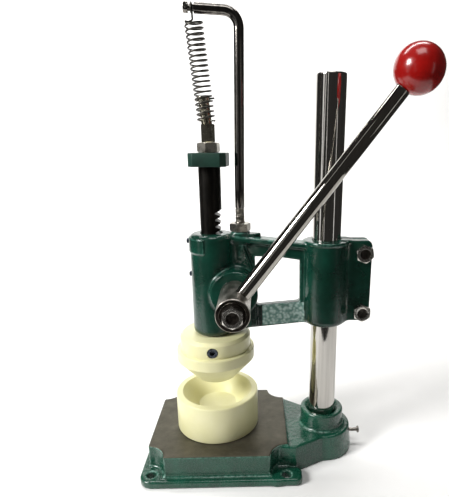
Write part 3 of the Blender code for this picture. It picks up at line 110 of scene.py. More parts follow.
def relief(depth, strength):
    # a bump's inputs, from the real height of its pattern in millimetres
    return {"Strength": strength, "Distance": depth * mm}


def fromTo(low, high, toLow=0.0, toHigh=1.0):
    return {"From Min": low, "From Max": high, "To Min": toLow, "To Max": toHigh}


def newMaterial(name, colour, roughness, metallic=0.0):
    material = bpy.data.materials.new(name)
    material.use_nodes = True
    shader = material.node_tree.nodes["Principled BSDF"]
    feed(shader, {"Base Color": colour, "Roughness": roughness, "Metallic": metallic})
    return material, material.node_tree, shader


def objectSpace(tree, centre=(0, 0, 0), turn=(0, 0, 0), stretch=(1, 1, 1)):
    # a pattern's own space: centred on a place of the press (mm), turned and stretched
    place = addNode(tree, "ShaderNodeTexCoord").outputs["Object"]
    moved = addNode(tree, "ShaderNodeMapping", {
        "Vector": place, "Location": tuple(-c * mm for c in centre)}, vector_type="POINT")
    return addNode(tree, "ShaderNodeMapping", {
        "Vector": moved, "Rotation": turn, "Scale": stretch}, vector_type="POINT").outputs[0]


def enamelWearAndPaintedLight(tree, space, tones, patches, rimColour, corners, cornerShadeColour):
    # enamel in soft blotches of three tones, paler in patches along its rims, where the coat is worn and a
    # painted highlight lies, and darker in deep corners as painted shade; patches is the grain in
    # millimetres, then what share of the pattern wears how much
    rim, deep = [addNode(tree, "ShaderNodeAttribute", attribute_name=label).outputs["Fac"]
                 for label in ("rimWearAndGlint", "paintedCornerShade")]
    blotches = addNode(tree, "ShaderNodeTexNoise", {"Vector": space, **grainOf(24, 3.0)})
    spots = addNode(tree, "ShaderNodeTexNoise", {"Vector": space, **grainOf(patches[0], 3.0)})
    edge = addNode(tree, "ShaderNodeMapRange", {"Value": rim, **fromTo(0.25, 0.95)},
                   interpolation_type="SMOOTHSTEP")
    patch = addNode(tree, "ShaderNodeMapRange", {"Value": spots, **fromTo(*patches[1:])})
    # paler rims: partly worn coat, partly a painted highlight; darker corners: painted shade
    wearAndGlint = addNode(tree, "ShaderNodeMath", {0: edge, 1: patch}, operation="MULTIPLY")
    corner = addNode(tree, "ShaderNodeMapRange", {"Value": deep, **fromTo(*corners)})
    paint = addNode(tree, "ShaderNodeValToRGB", {"Fac": blotches}, tones)
    paint = addNode(tree, "ShaderNodeMix", {0: wearAndGlint, 6: paint, 7: rimColour}, data_type="RGBA").outputs[2]
    return addNode(tree, "ShaderNodeMix", {0: corner, 6: paint, 7: cornerShadeColour},
                   data_type="RGBA").outputs[2]


def enamelMaterial(name, gloss=(0.18, 0.26), coat=0.15):
    # glossy hammered enamel, sprayed thick over rough cast iron: dark blue-green with soft dimples,
    # paler over a rim where the coat thins, with a painted highlight there, and pale hammered on the lower
    # bar's panel, its paleness a painted highlight
    material, tree, shader = newMaterial(name, "#0d3a2c", 0.30)
    space = objectSpace(tree)
    paint = enamelWearAndPaintedLight(tree, space, [(0.30, "#082b20"), (0.52, "#0b362a"), (0.75, "#104133")],
                      (5.5, 0.40, 0.64, 0.05, 0.8), "#528374", (0.15, 0.85, 0.0, 0.75), "#03130e")
    dimples = addNode(tree, "ShaderNodeTexNoise", {"Vector": space, **grainOf(3.4, 2.0, 0.5)})
    grain = addNode(tree, "ShaderNodeTexNoise", {"Vector": space, **grainOf(0.9, 2.0, 0.6)})
    panel = addNode(tree, "ShaderNodeAttribute", attribute_name="panelMask").outputs["Fac"]
    hammered = addNode(tree, "ShaderNodeTexVoronoi", {
        "Vector": space, "Scale": 1.0 / (2.9 * mm), "Randomness": 1.0}, feature="SMOOTH_F1")
    hollow = addNode(tree, "ShaderNodeMapRange", {"Value": hammered, **fromTo(0.15, 0.62)},
                     interpolation_type="SMOOTHSTEP")
    # the panel's pale tones are a painted highlight of the flat hammered face catching the light
    panelHighlight = addNode(tree, "ShaderNodeMix", {0: hollow, 6: "#c3dcd5", 7: "#6c9489"},
                   data_type="RGBA").outputs[2]
    beaten = addNode(tree, "ShaderNodeMath", {0: hammered, 1: panel}, operation="MULTIPLY")
    soft = addNode(tree, "ShaderNodeBump", {"Height": dimples, **relief(0.45, 0.45)})
    fine = addNode(tree, "ShaderNodeBump", {"Height": grain, "Normal": soft, **relief(0.01, 0.3)})
    feed(shader, {
        "Base Color": addNode(tree, "ShaderNodeMix", {0: panel, 6: paint, 7: panelHighlight},
                              data_type="RGBA").outputs[2],
        "Roughness": addNode(tree, "ShaderNodeMapRange", {"Value": grain, **fromTo(0.3, 0.7, *gloss)}),
        "Normal": addNode(tree, "ShaderNodeBump", {"Height": beaten, "Normal": fine, **relief(0.9, 0.9)}),
        "Coat Weight": coat, "Coat Roughness": 0.12})
    return material


def baseEnamelMaterial(name):
    # the same enamel on the base; the pad's top is milled bare iron, brown-grey and faintly oiled
    material, tree, shader = newMaterial(name, "#144434", 0.30)
    space = objectSpace(tree)
    place = addNode(tree, "ShaderNodeSeparateXYZ",
                    {"Vector": addNode(tree, "ShaderNodeTexCoord").outputs["Object"]})
    onTop = addNode(tree, "ShaderNodeMapRange",
                    {"Value": place.outputs["Z"], **fromTo(30.32 * mm, 30.42 * mm)})
    onPad = addNode(tree, "ShaderNodeMapRange",
                    {"Value": place.outputs["X"], **fromTo(-39.0 * mm, -39.1 * mm)})
    milled = addNode(tree, "ShaderNodeMath", {0: onTop, 1: onPad}, operation="MULTIPLY")
    painted = addNode(tree, "ShaderNodeMath", {0: 1.0, 1: milled}, operation="SUBTRACT")
    # painted light: these tones are a shade lighter than the arm's, standing in for the light the pale floor
    # throws on the base, and the pale rim colour is a painted glint
    paint = enamelWearAndPaintedLight(tree, space, [(0.30, "#0b3a2b"), (0.52, "#0f4634"), (0.75, "#15523f")],
                      (4.5, 0.42, 0.62, 0.05, 0.9), "#8ab5a6", (0.25, 0.95, 0.0, 0.7), "#04170f")
    dimples = addNode(tree, "ShaderNodeTexNoise", {"Vector": space, **grainOf(4.0, 2.0, 0.5)})
    grain = addNode(tree, "ShaderNodeTexNoise", {"Vector": space, **grainOf(0.9, 2.0, 0.6)})
    stains = addNode(tree, "ShaderNodeTexNoise", {"Vector": space, **grainOf(15, 4.0, 0.6)})
    cutterLines = addNode(tree, "ShaderNodeTexNoise", {
        "Vector": objectSpace(tree, stretch=(1.0, 26.0, 1.0)), **grainOf(12.0, 3.0, 0.6)})
    streaks = addNode(tree, "ShaderNodeMapRange", {"Value": cutterLines, **fromTo(0.35, 0.65, 0.0, 0.30)})
    iron = addNode(tree, "ShaderNodeValToRGB", {"Fac": stains},
                   [(0.28, "#433f33"), (0.50, "#524e41"), (0.74, "#625e4f")])
    iron = addNode(tree, "ShaderNodeMix", {0: streaks, 6: iron, 7: "#35322a"}, data_type="RGBA").outputs[2]
    gloss = addNode(tree, "ShaderNodeMapRange", {"Value": grain, **fromTo(0.3, 0.7, 0.20, 0.34)})
    duller, metal, coat, lumps, lines = [
        addNode(tree, "ShaderNodeMath", {0: first, 1: second}, operation="MULTIPLY")
        for first, second in ((milled, 0.20), (milled, 0.55), (painted, 0.3), (dimples, painted),
                              (cutterLines, milled))]
    soft = addNode(tree, "ShaderNodeBump", {"Height": lumps, **relief(1.1, 0.65)})
    cut = addNode(tree, "ShaderNodeBump", {"Height": lines, "Normal": soft, **relief(0.03, 0.8)})
    feed(shader, {
        "Base Color": addNode(tree, "ShaderNodeMix", {0: milled, 6: paint, 7: iron},
                              data_type="RGBA").outputs[2],
        "Roughness": addNode(tree, "ShaderNodeMath", {0: gloss, 1: duller}, operation="ADD"),
        "Normal": addNode(tree, "ShaderNodeBump", {"Height": grain, "Normal": cut, **relief(0.05, 0.4)}),
        "Metallic": metal, "Coat Weight": coat, "Coat Roughness": 0.09})
    return material


def nylonMaterial(name, centre):
    # cast nylon turned on a lathe: cream, a little translucent, with very fine tool rings
    material, tree, shader = newMaterial(name, "#e2dda9", 0.34)
    space = objectSpace(tree, centre)
    cloud = addNode(tree, "ShaderNodeTexNoise", {"Vector": space, **grainOf(30, 3.0)})
    haze = addNode(tree, "ShaderNodeTexNoise", {"Vector": space, **grainOf(5, 3.0)})
    rings = addNode(tree, "ShaderNodeTexWave", {
        "Vector": space, "Scale": 1.0 / (1.3 * mm) / tau, "Distortion": 0.6, "Detail": 1.0},
        wave_type="RINGS", rings_direction="Z").outputs["Fac"]
    turns = addNode(tree, "ShaderNodeTexWave", {
        "Vector": space, "Scale": 1.0 / (1.0 * mm) / tau, "Distortion": 0.4, "Detail": 1.0},
        wave_type="BANDS", bands_direction="Z").outputs["Fac"]
    marks = addNode(tree, "ShaderNodeMath", {0: rings, 1: turns}, operation="ADD")
    feed(shader, {
        "Base Color": addNode(tree, "ShaderNodeValToRGB", {"Fac": cloud},
                              [(0.3, "#e0dca8"), (0.7, "#e8e4b8")]),
        "Roughness": addNode(tree, "ShaderNodeMapRange", {"Value": haze, **fromTo(0.3, 0.7, 0.28, 0.42)}),
        "Normal": addNode(tree, "ShaderNodeBump", {"Height": marks, **relief(0.006, 0.5)}),
        "Subsurface Weight": 0.08, "Subsurface Radius": (1.0, 0.85, 0.45), "Subsurface Scale": 3 * mm})
    return material


def plateMaterial(name, axisTurn, centre, colour="#bbb8b3", roughness=(0.045, 0.12)):
    # bright chrome plate over ground steel: almost a mirror, faintly drawn out along the bar
    material, tree, shader = newMaterial(name, colour, 0.07, 1.0)
    streaks = addNode(tree, "ShaderNodeTexNoise", {
        "Vector": objectSpace(tree, centre, axisTurn, (1.0, 1.0, 0.03)), **grainOf(2.6, 3.0, 0.6)})
    shade = addNode(tree, "ShaderNodeMapRange", {"Value": streaks, **fromTo(0.35, 0.75, 0.0, 0.35)})
    feed(shader, {
        "Base Color": addNode(tree, "ShaderNodeMix", {0: shade, 6: colour, 7: "#85817a"},
                              data_type="RGBA").outputs[2],
        "Roughness": addNode(tree, "ShaderNodeMapRange",
                             {"Value": streaks, **fromTo(0.3, 0.7, *roughness)}),
        "Normal": addNode(tree, "ShaderNodeBump", {"Height": streaks, **relief(0.05, 0.35)})})
    return material


def turnedSteelMaterial(name, centre):
    # bare steel straight off the lathe: fine rings round the axis that spread the highlight
    material, tree, shader = newMaterial(name, "#a8a29a", 0.26, 1.0)
    space = objectSpace(tree, centre)
    rings = addNode(tree, "ShaderNodeTexWave", {
        "Vector": space, "Scale": 1.0 / (0.55 * mm) / tau, "Distortion": 1.2, "Detail": 2.0,
        "Detail Scale": 2.0}, wave_type="BANDS", bands_direction="Y").outputs["Fac"]
    spots = addNode(tree, "ShaderNodeTexNoise", {"Vector": space, **grainOf(9.0, 3.0, 0.5)})
    feed(shader, {
        "Base Color": addNode(tree, "ShaderNodeValToRGB", {"Fac": spots},
                              [(0.30, "#8f8981"), (0.52, "#a59f97"), (0.75, "#b8b3ab")]),
        "Roughness": addNode(tree, "ShaderNodeMapRange", {"Value": spots, **fromTo(0.3, 0.7, 0.28, 0.42)}),
        "Normal": addNode(tree, "ShaderNodeBump", {"Height": rings, **relief(0.02, 0.7)})})
    return material


def platedSteelMaterial(name, dark, light, roughness, size=3.2):
    # cold-formed bolts and nuts, dull zinc plate that has browned a little in spots
    material, tree, shader = newMaterial(name, light, 0.3, 1.0)
    space = objectSpace(tree)
    spots = addNode(tree, "ShaderNodeTexNoise", {"Vector": space, **grainOf(size, 3.0)})
    film = addNode(tree, "ShaderNodeTexNoise", {"Vector": space, **grainOf(1.2, 3.0)})
    feed(shader, {
        "Base Color": addNode(tree, "ShaderNodeValToRGB", {"Fac": spots}, [(0.30, dark), (0.52, light)]),
        "Roughness": addNode(tree, "ShaderNodeMapRange", {"Value": film, **fromTo(0.3, 0.7, *roughness)}),
        "Normal": addNode(tree, "ShaderNodeBump", {"Height": spots, **relief(0.03, 0.4)})})
    return material


def blackSteelMaterial(name, dark, light, roughness, along=(1, 1, 1), metallic=0.75):
    # hot-blackened, oiled steel: dark, with lighter scuffs, drawn out along a bar by the stretch
    material, tree, shader = newMaterial(name, dark, 0.4, metallic)
    scuffs = addNode(tree, "ShaderNodeTexNoise", {
        "Vector": objectSpace(tree, stretch=along), **grainOf(4.0, 5.0, 0.65)})
    film = addNode(tree, "ShaderNodeTexNoise", {"Vector": objectSpace(tree), **grainOf(9.0, 4.0, 0.6)})
    feed(shader, {
        "Base Color": addNode(tree, "ShaderNodeValToRGB", {"Fac": scuffs},
                              [(0.38, dark), (0.60, light), (0.82, dark)]),
        "Roughness": addNode(tree, "ShaderNodeMapRange", {"Value": film, **fromTo(0.3, 0.7, *roughness)}),
        "Normal": addNode(tree, "ShaderNodeBump", {"Height": scuffs, **relief(0.05, 0.6)})})
    return material


def knobMaterial(name):
    # moulded phenolic, polished by the hand: deep even red under a clear gloss
    material, tree, shader = newMaterial(name, "#970b08", 0.12)
    space = objectSpace(tree)
    cloud, film, waves = [addNode(tree, "ShaderNodeTexNoise", {"Vector": space, **grainOf(size, detail)})
                          for size, detail in ((14, 3.0), (2.5, 4.0), (6, 2.0))]
    feed(shader, {
        "Base Color": addNode(tree, "ShaderNodeValToRGB", {"Fac": cloud},
                              [(0.3, "#8c0806"), (0.7, "#a0100c")]),
        "Roughness": addNode(tree, "ShaderNodeMapRange", {"Value": film, **fromTo(0.3, 0.7, 0.18, 0.27)}),
        "Normal": addNode(tree, "ShaderNodeBump", {"Height": waves, **relief(0.05, 0.3)}),
        "Coat Weight": 0.25, "Coat Roughness": 0.10})
    return material


def bronzeMaterial(name):
    # sintered bronze bush, brown with oil
    material, tree, shader = newMaterial(name, "#8a6238", 0.35, 1.0)
    space = objectSpace(tree)
    cloud = addNode(tree, "ShaderNodeTexNoise", {"Vector": space, **grainOf(2.2)})
    pores = addNode(tree, "ShaderNodeTexNoise", {"Vector": space, **grainOf(0.6, 3.0)})
    feed(shader, {
        "Base Color": addNode(tree, "ShaderNodeValToRGB", {"Fac": cloud},
                              [(0.3, "#6b4926"), (0.7, "#a07747")]),
        "Normal": addNode(tree, "ShaderNodeBump", {"Height": pores, **relief(0.04, 0.6)})})
    return material


axisRam = (-press["throat"], 0, 0)
leverAngle = math.radians(press["leverAngle"])
leverAim = Vector((math.cos(leverAngle), 0, math.sin(leverAngle)))
leverTilt = math.radians(90 - press["leverAngle"])
leverFoot = (press["pinionX"], press["leverAcross"], press["pinionZ"])
finishes = {
    "armEnamel": enamelMaterial("green_enamel_arm"),
    "blockEnamel": enamelMaterial("green_enamel_block", (0.42, 0.55), 0.0),
    "baseEnamel": baseEnamelMaterial("green_enamel_base"),
    "nylon": nylonMaterial("cream_nylon", axisRam),
    "columnChrome": plateMaterial("chrome_plate_column", (0, 0, 0), (0, 0, 0)),
    "leverChrome": plateMaterial("chrome_plate_lever", (0, -leverTilt, 0), leverFoot, "#aaa69f",
                                 (0.02, 0.05)),
    "hubSteel": turnedSteelMaterial("turned_steel_hub", (press["pinionX"], 0, press["pinionZ"])),
    "boltSteel": platedSteelMaterial("bright_steel_bolts", "#aeaba4", "#d9d6cf", (0.20, 0.28), 5.0),
    "nutSteel": platedSteelMaterial("bright_steel_nuts", "#8a867c", "#b9b5ab", (0.26, 0.38), 7.0),
    "studSteel": platedSteelMaterial("bright_steel_stud", "#8d8877", "#c9c4b2", (0.16, 0.26), 9.0),
    "setScrewSteel": platedSteelMaterial("bright_steel_set_screw", "#4b4843", "#8b8780", (0.25, 0.40)),
    # dark steel laid where shade falls: painted shade in the bolt dishes and on the hub's front ring
    "paintedShadeSteel": blackSteelMaterial("dark_steel_painted_shade", "#171411", "#3a352f", (0.28, 0.42)),
    "wire": platedSteelMaterial("bright_steel_wire", "#2c2a27", "#55524d", (0.25, 0.4)),
    "ramSteel": blackSteelMaterial("oiled_steel_ram", "#0d0b08", "#1b1813", (0.30, 0.48), (1, 1, 0.15)),
    "rodSteel": blackSteelMaterial("black_steel_rod", "#5b5855", "#7d7974", (0.09, 0.18),
                                   (1, 1, 0.05), 1.0),
    "threadSteel": platedSteelMaterial("bright_steel_thread", "#4d4a44", "#8a867d", (0.34, 0.46)),
    "washerSteel": blackSteelMaterial("black_steel_washer", "#17130f", "#2a251f", (0.30, 0.45)),
    "screwSteel": blackSteelMaterial("black_steel_screw", "#2c3038", "#5d6470", (0.22, 0.36)),
    "knob": knobMaterial("red_ball"),
    "bronze": bronzeMaterial("bronze_bush"),
}
print("materials ready:", len(finishes))


# mesh helpers, all sizes in mm

boxFaces = [(0, 3, 2, 1), (4, 5, 6, 7), (0, 1, 5, 4), (1, 2, 6, 5), (2, 3, 7, 6), (3, 0, 4, 7)]


def boxCorners(left, right, near, far, low, high):
    # the lower four, then the upper four, as boxFaces takes them
    return [(x, y, z) for z in (low, high)
            for x, y in ((left, near), (right, near), (right, far), (left, far))]


def linked(name, data):
    piece = bpy.data.objects.new(name, data)
    bpy.context.scene.collection.objects.link(piece)
    return piece


def sharpen(piece, angle):
    piece.data.set_sharp_from_angle(angle=math.radians(angle))


def finishMesh(name, vertices, faces, material, sharpAngle=None):
    data = bpy.data.meshes.new(name)
    data.from_pydata([tuple(float(c) * mm for c in v) for v in vertices], [], faces)
    shape = bmesh.new()
    shape.from_mesh(data)
    bmesh.ops.remove_doubles(shape, verts=shape.verts, dist=0.002 * mm)
    bmesh.ops.dissolve_degenerate(shape, edges=shape.edges, dist=0.001 * mm)
    bmesh.ops.recalc_face_normals(shape, faces=shape.faces)
    shape.to_mesh(data)
    shape.free()
    data.materials.append(material)
    data.shade_smooth()
    piece = linked(name, data)
    if sharpAngle is not None:
        sharpen(piece, sharpAngle)
    return piece


def softCorners(profile, radius, steps=4):
    # rounds the inner corners of an open (radius, height) line; a third value overrides the rounding
    points = [profile[0][:2]]
    for before, here, after in zip(profile, profile[1:], profile[2:]):
        reach = here[2] if len(here) > 2 else radius
        a, b, c = Vector(before[:2]), Vector(here[:2]), Vector(after[:2])
        first, second = a - b, c - b
        if reach <= 0 or first.length < 1e-6 or second.length < 1e-6:
            points.append(here[:2])
            continue
        angle = first.angle(second)
        if angle > math.radians(176):
            points.append(here[:2])
            continue
        tangent = min(reach / math.tan(angle / 2), 0.48 * first.length, 0.48 * second.length)
        start = b + first.normalized() * tangent
        end = b + second.normalized() * tangent
        # a point just outside the rounding keeps the long face's shading straight
        hold = min(0.4, (first.length - tangent) / 3)
        points.append(tuple(start + first.normalized() * hold))
        for step in range(steps + 1):
            t = step / steps
            points.append(tuple(start * (1 - t) ** 2 + b * 2 * t * (1 - t) + end * t ** 2))
        hold = min(0.4, (second.length - tangent) / 3)
        points.append(tuple(end + second.normalized() * hold))
    points.append(profile[-1][:2])
    return points


def axisPlace(origin, direction, roll=0.0):
    # local Z along direction, standing at origin (mm)
    aim = Vector(direction).normalized()
    turn = aim.to_track_quat("Z", "Y").to_matrix().to_4x4()
    return Matrix.Translation(Vector(origin)) @ turn @ Matrix.Rotation(roll, 4, "Z")


def rings(name, levels, place, material, around=96, sharpAngle=35, closedLoop=False):
    # levels: functions or numbers giving (radius at an angle, height at an angle); poles where radius is 0
    vertices, faces, rows = [], [], []
    for radius, height in levels:
        if not callable(radius) and radius <= 1e-6:
            vertices.append((0, 0, height if not callable(height) else height(0)))
            rows.append([len(vertices) - 1] * around)
            continue
        row = []
        for step in range(around):
            angle = tau * step / around
            r = radius(angle) if callable(radius) else radius
            h = height(angle) if callable(height) else height
            vertices.append((r * math.cos(angle), r * math.sin(angle), h))
            row.append(len(vertices) - 1)
        rows.append(row)
    pairs = list(zip(rows, rows[1:]))
    if closedLoop:
        pairs.append((rows[-1], rows[0]))
    for lower, upper in pairs:
        for step in range(around):
            after = (step + 1) % around
            corners = [lower[step], lower[after], upper[after], upper[step]]
            unique = list(dict.fromkeys(corners))
            if len(unique) > 2:
                faces.append(unique)
    placed = [place @ Vector(v) for v in vertices]
    return finishMesh(name, placed, faces, material, sharpAngle)


def turnedPiece(name, profile, place, material, around=96, rounding=0.3, closedLoop=False, sharpAngle=35):
    if closedLoop:
        # a closed line is rounded with its ends joined
        wrapped = [profile[-1]] + list(profile) + [profile[0]]
        line = softCorners(wrapped, rounding)[1:-1]
    else:
        line = softCorners(profile, rounding)
    return rings(name, line, place, material, around, sharpAngle, closedLoop)


def hexRadius(width):
    half = width / 2
    return lambda angle: half / math.cos((angle + math.pi / 6) % (math.pi / 3) - math.pi / 6)


def hexHead(name, width, height, dish, dishDepth, shank, length, place, material):
    # chamfered hexagon with a pressed dish on top and a shank below
    across = hexRadius(width)
    bevelStart = width / 2 * 0.985
    slope = math.tan(math.radians(24))

    def sideTop(angle):
        return height - max(0.0, across(angle) - bevelStart) * slope

    levels = [
        (0, -length), (shank - 0.6, -length), (shank, -length + 0.6), (shank, -0.2),
        (lambda angle: across(angle) - 0.25, 0.0), (across, 0.25), (across, sideTop),
        (bevelStart, height), (dish + 0.5, height), (dish, height - 0.12),
        (dish * 0.93, height - dishDepth * 0.8), (dish * 0.8, height - dishDepth), (0, height - dishDepth)]
    return rings(name, levels, place, material, 96, 24)


def paintDishShade(piece, place, radius, height):
    # painted shade in the pressed dish: a second, dark material on the faces inside it
    back = place.inverted()
    piece.data.materials.append(finishes["paintedShadeSteel"])
    for face in piece.data.polygons:
        spot = back @ (face.center / mm)
        if spot.z > height - 2.0 and math.hypot(spot.x, spot.y) < radius:
            face.material_index = len(piece.data.materials) - 1


def hexNut(name, width, height, bore, place, material):
    across = hexRadius(width)
    bevelStart = width / 2 * 0.965
    slope = math.tan(math.radians(28))
    drop = lambda angle: max(0.0, across(angle) - bevelStart) * slope
    levels = [
        (bore, 0.6), (bore + 0.6, 0), (bevelStart, 0), (across, drop),
        (across, lambda angle: height - drop(angle)), (bevelStart, height), (bore + 0.6, height),
        (bore, height - 0.6)]
    return rings(name, levels, place, material, 96, 24, True)


def boolean(piece, other, operation):
    step = piece.modifiers.new("cut", "BOOLEAN")
    step.operation = operation
    step.solver = "MANIFOLD"
    step.object = other
    evaluated = piece.evaluated_get(bpy.context.evaluated_depsgraph_get())
    data = bpy.data.meshes.new_from_object(evaluated)
    piece.modifiers.clear()
    piece.data = data
    bpy.data.objects.remove(other, do_unlink=True)
    return piece


# cast pieces from smooth distance fields

def blendMin(a, b, reach):
    # union with a cast fillet of about that radius
    reach = reach / 0.85
    near = np.maximum(reach - np.abs(a - b), 0) / reach
    return np.minimum(a, b) - near * near * reach / 4


def blendMax(a, b, reach):
    return -blendMin(-a, -b, reach)


def outlineDistance(px, pz, corners):
    # signed distance to a closed outline, negative inside
    best, inside = None, False
    for (ax, az), (bx, bz) in zip(corners, corners[1:] + corners[:1]):
        ex, ez = bx - ax, bz - az
        wx, wz = px - ax, pz - az
        along = np.clip((wx * ex + wz * ez) / (ex * ex + ez * ez), 0, 1)
        distance = (wx - ex * along) ** 2 + (wz - ez * along) ** 2
        best = distance if best is None else np.minimum(best, distance)
        above, below, left = pz >= az, pz < bz, ex * wz > ez * wx
        inside = inside ^ ((above & below & left) | (~above & ~below & ~left))
    return np.where(inside, -1.0, 1.0) * np.sqrt(best)


def slab(flat, across, half, rounding):
    a, b = flat + rounding, np.abs(across) - half + rounding
    return np.minimum(np.maximum(a, b), 0) + np.hypot(np.maximum(a, 0), np.maximum(b, 0)) - rounding


def post(px, py, pz, x, y, radius, low, high, rounding):
    return slab(np.hypot(px - x, py - y) - radius, pz - (low + high) / 2, (high - low) / 2, rounding)


def boxDistance(px, py, left, right, near, far, corner):
    dx = np.abs(px - (left + right) / 2) - (right - left) / 2 + corner
    dy = np.abs(py - (near + far) / 2) - (far - near) / 2 + corner
    return np.minimum(np.maximum(dx, dy), 0) + np.hypot(np.maximum(dx, 0), np.maximum(dy, 0)) - corner


def surfaceOf(field, low, high, step):
    # surface nets: one vertex in each cell that the surface crosses, then drawn exactly onto it
    axes = [np.arange(a - 2 * step, b + 3 * step, step) for a, b in zip(low, high)]
    values = field(axes[0][:, None, None], axes[1][None, :, None], axes[2][None, None, :])
    values = np.where(np.abs(values) < 1e-6, 1e-6, values)
    cells = tuple(n - 1 for n in values.shape)
    total = np.zeros(cells + (3,), dtype=np.float32)
    count = np.zeros(cells, dtype=np.float32)
    crossings = []
    for axis in range(3):
        near = np.take(values, range(values.shape[axis] - 1), axis)
        far = np.take(values, range(1, values.shape[axis]), axis)
        crossed = (near < 0) != (far < 0)
        share = np.where(crossed, near / np.where(crossed, near - far, 1), 0).astype(np.float32)
        crossings.append((crossed, near < 0))
        others = [i for i in range(3) if i != axis]
        for one in (0, 1):
            for two in (0, 1):
                pick = [slice(None)] * 3
                pick[others[0]] = slice(one, one + cells[others[0]])
                pick[others[1]] = slice(two, two + cells[others[1]])
                pick = tuple(pick)
                here = crossed[pick]
                total[..., axis] += share[pick]
                total[..., others[0]] += here * one
                total[..., others[1]] += here * two
                count += here
    active = count > 0
    index = np.full(cells, -1, dtype=np.int64)
    index[active] = np.arange(int(active.sum()))
    corner = np.argwhere(active)
    points = (corner + total[active] / count[active][:, None]) * step
    points = points + np.array([a[0] for a in axes])
    faces = []
    for axis, (crossed, inward) in enumerate(crossings):
        others = [i for i in range(3) if i != axis]
        place = np.argwhere(crossed)
        place = place[(place[:, others[0]] > 0) & (place[:, others[1]] > 0)]
        place = place[(place[:, others[0]] < cells[others[0]]) & (place[:, others[1]] < cells[others[1]])]
        loop = []
        for one, two in ((1, 1), (0, 1), (0, 0), (1, 0)):
            cell = place.copy()
            cell[:, others[0]] -= one
            cell[:, others[1]] -= two
            loop.append(index[cell[:, 0], cell[:, 1], cell[:, 2]])
        quads = np.stack(loop, 1)
        outward = inward[place[:, 0], place[:, 1], place[:, 2]]
        if axis == 1:
            outward = ~outward
        quads[~outward] = quads[~outward][:, ::-1]
        faces.append(quads)
    faces = np.concatenate(faces)
    probe = step * 0.25
    for _ in range(3):
        x, y, z = points.T
        here = field(x, y, z)
        slope = np.stack([
            field(x + probe, y, z) - field(x - probe, y, z),
            field(x, y + probe, z) - field(x, y - probe, z),
            field(x, y, z + probe) - field(x, y, z - probe)], 1) / (2 * probe)
        size = np.maximum((slope ** 2).sum(1), 0.25)
        move = slope * (here / size)[:, None]
        length = np.linalg.norm(move, axis=1)
        move *= (np.minimum(length, step * 0.4) / np.maximum(length, 1e-9))[:, None]
        points = points - move
    return points, faces, slope / np.sqrt(size)[:, None]


def castPiece(name, field, low, high, step, material, masks=None):
    points, faces, normals = surfaceOf(field, low, high, step)
    data = bpy.data.meshes.new(name)
    data.from_pydata((points * mm).tolist(), [], faces.tolist())
    data.validate()
    data.materials.append(material)
    data.shade_smooth()
    # how far the surface curves outwards: what lies 2 mm under it, against a flat face; it places the pale
    # worn rims with their painted highlight
    x, y, z = (points - normals * 2.0).T
    rim = np.clip((field(x, y, z) + 2.0) / 1.1, 0, 1)
    # how closely other iron stands over it, 6 mm out; it places the painted shade in corners and recesses
    x, y, z = (points + normals * 6.0).T
    layers = {"rimWearAndGlint": rim, "paintedCornerShade": np.clip(1 - field(x, y, z) / 6.0, 0, 1)}
    for label, mask in (masks or {}).items():
        layers[label] = np.maximum(layers.get(label, 0), mask(*points.T))
    for label, layer in layers.items():
        attribute = data.attributes.new(label, "FLOAT", "POINT")
        attribute.data.foreach_set("value", np.asarray(layer, dtype=np.float32))
    print(name, "faces", len(data.polygons))
    return linked(name, data)


# base casting

baseSizes = {
    "padLeft": -180.4, "padRight": -39.9, "padHalf": 62.0, "padTop": 30.9, "notch": 18.0,
    "flangeOut": 6.6, "flangeTop": 8.0, "earOut": -26.4, "neckTop": 28.0, "bossRadius": 30.5,
    "collarRadius": 22.8, "collarTop": 46.5, "socket": 14.3, "plate": 20.9, "cell": 1.0,
    "boltHoles": [(-175.6, 57.2), (-41.7, 60.2)], "boltHole": 4.7,
}


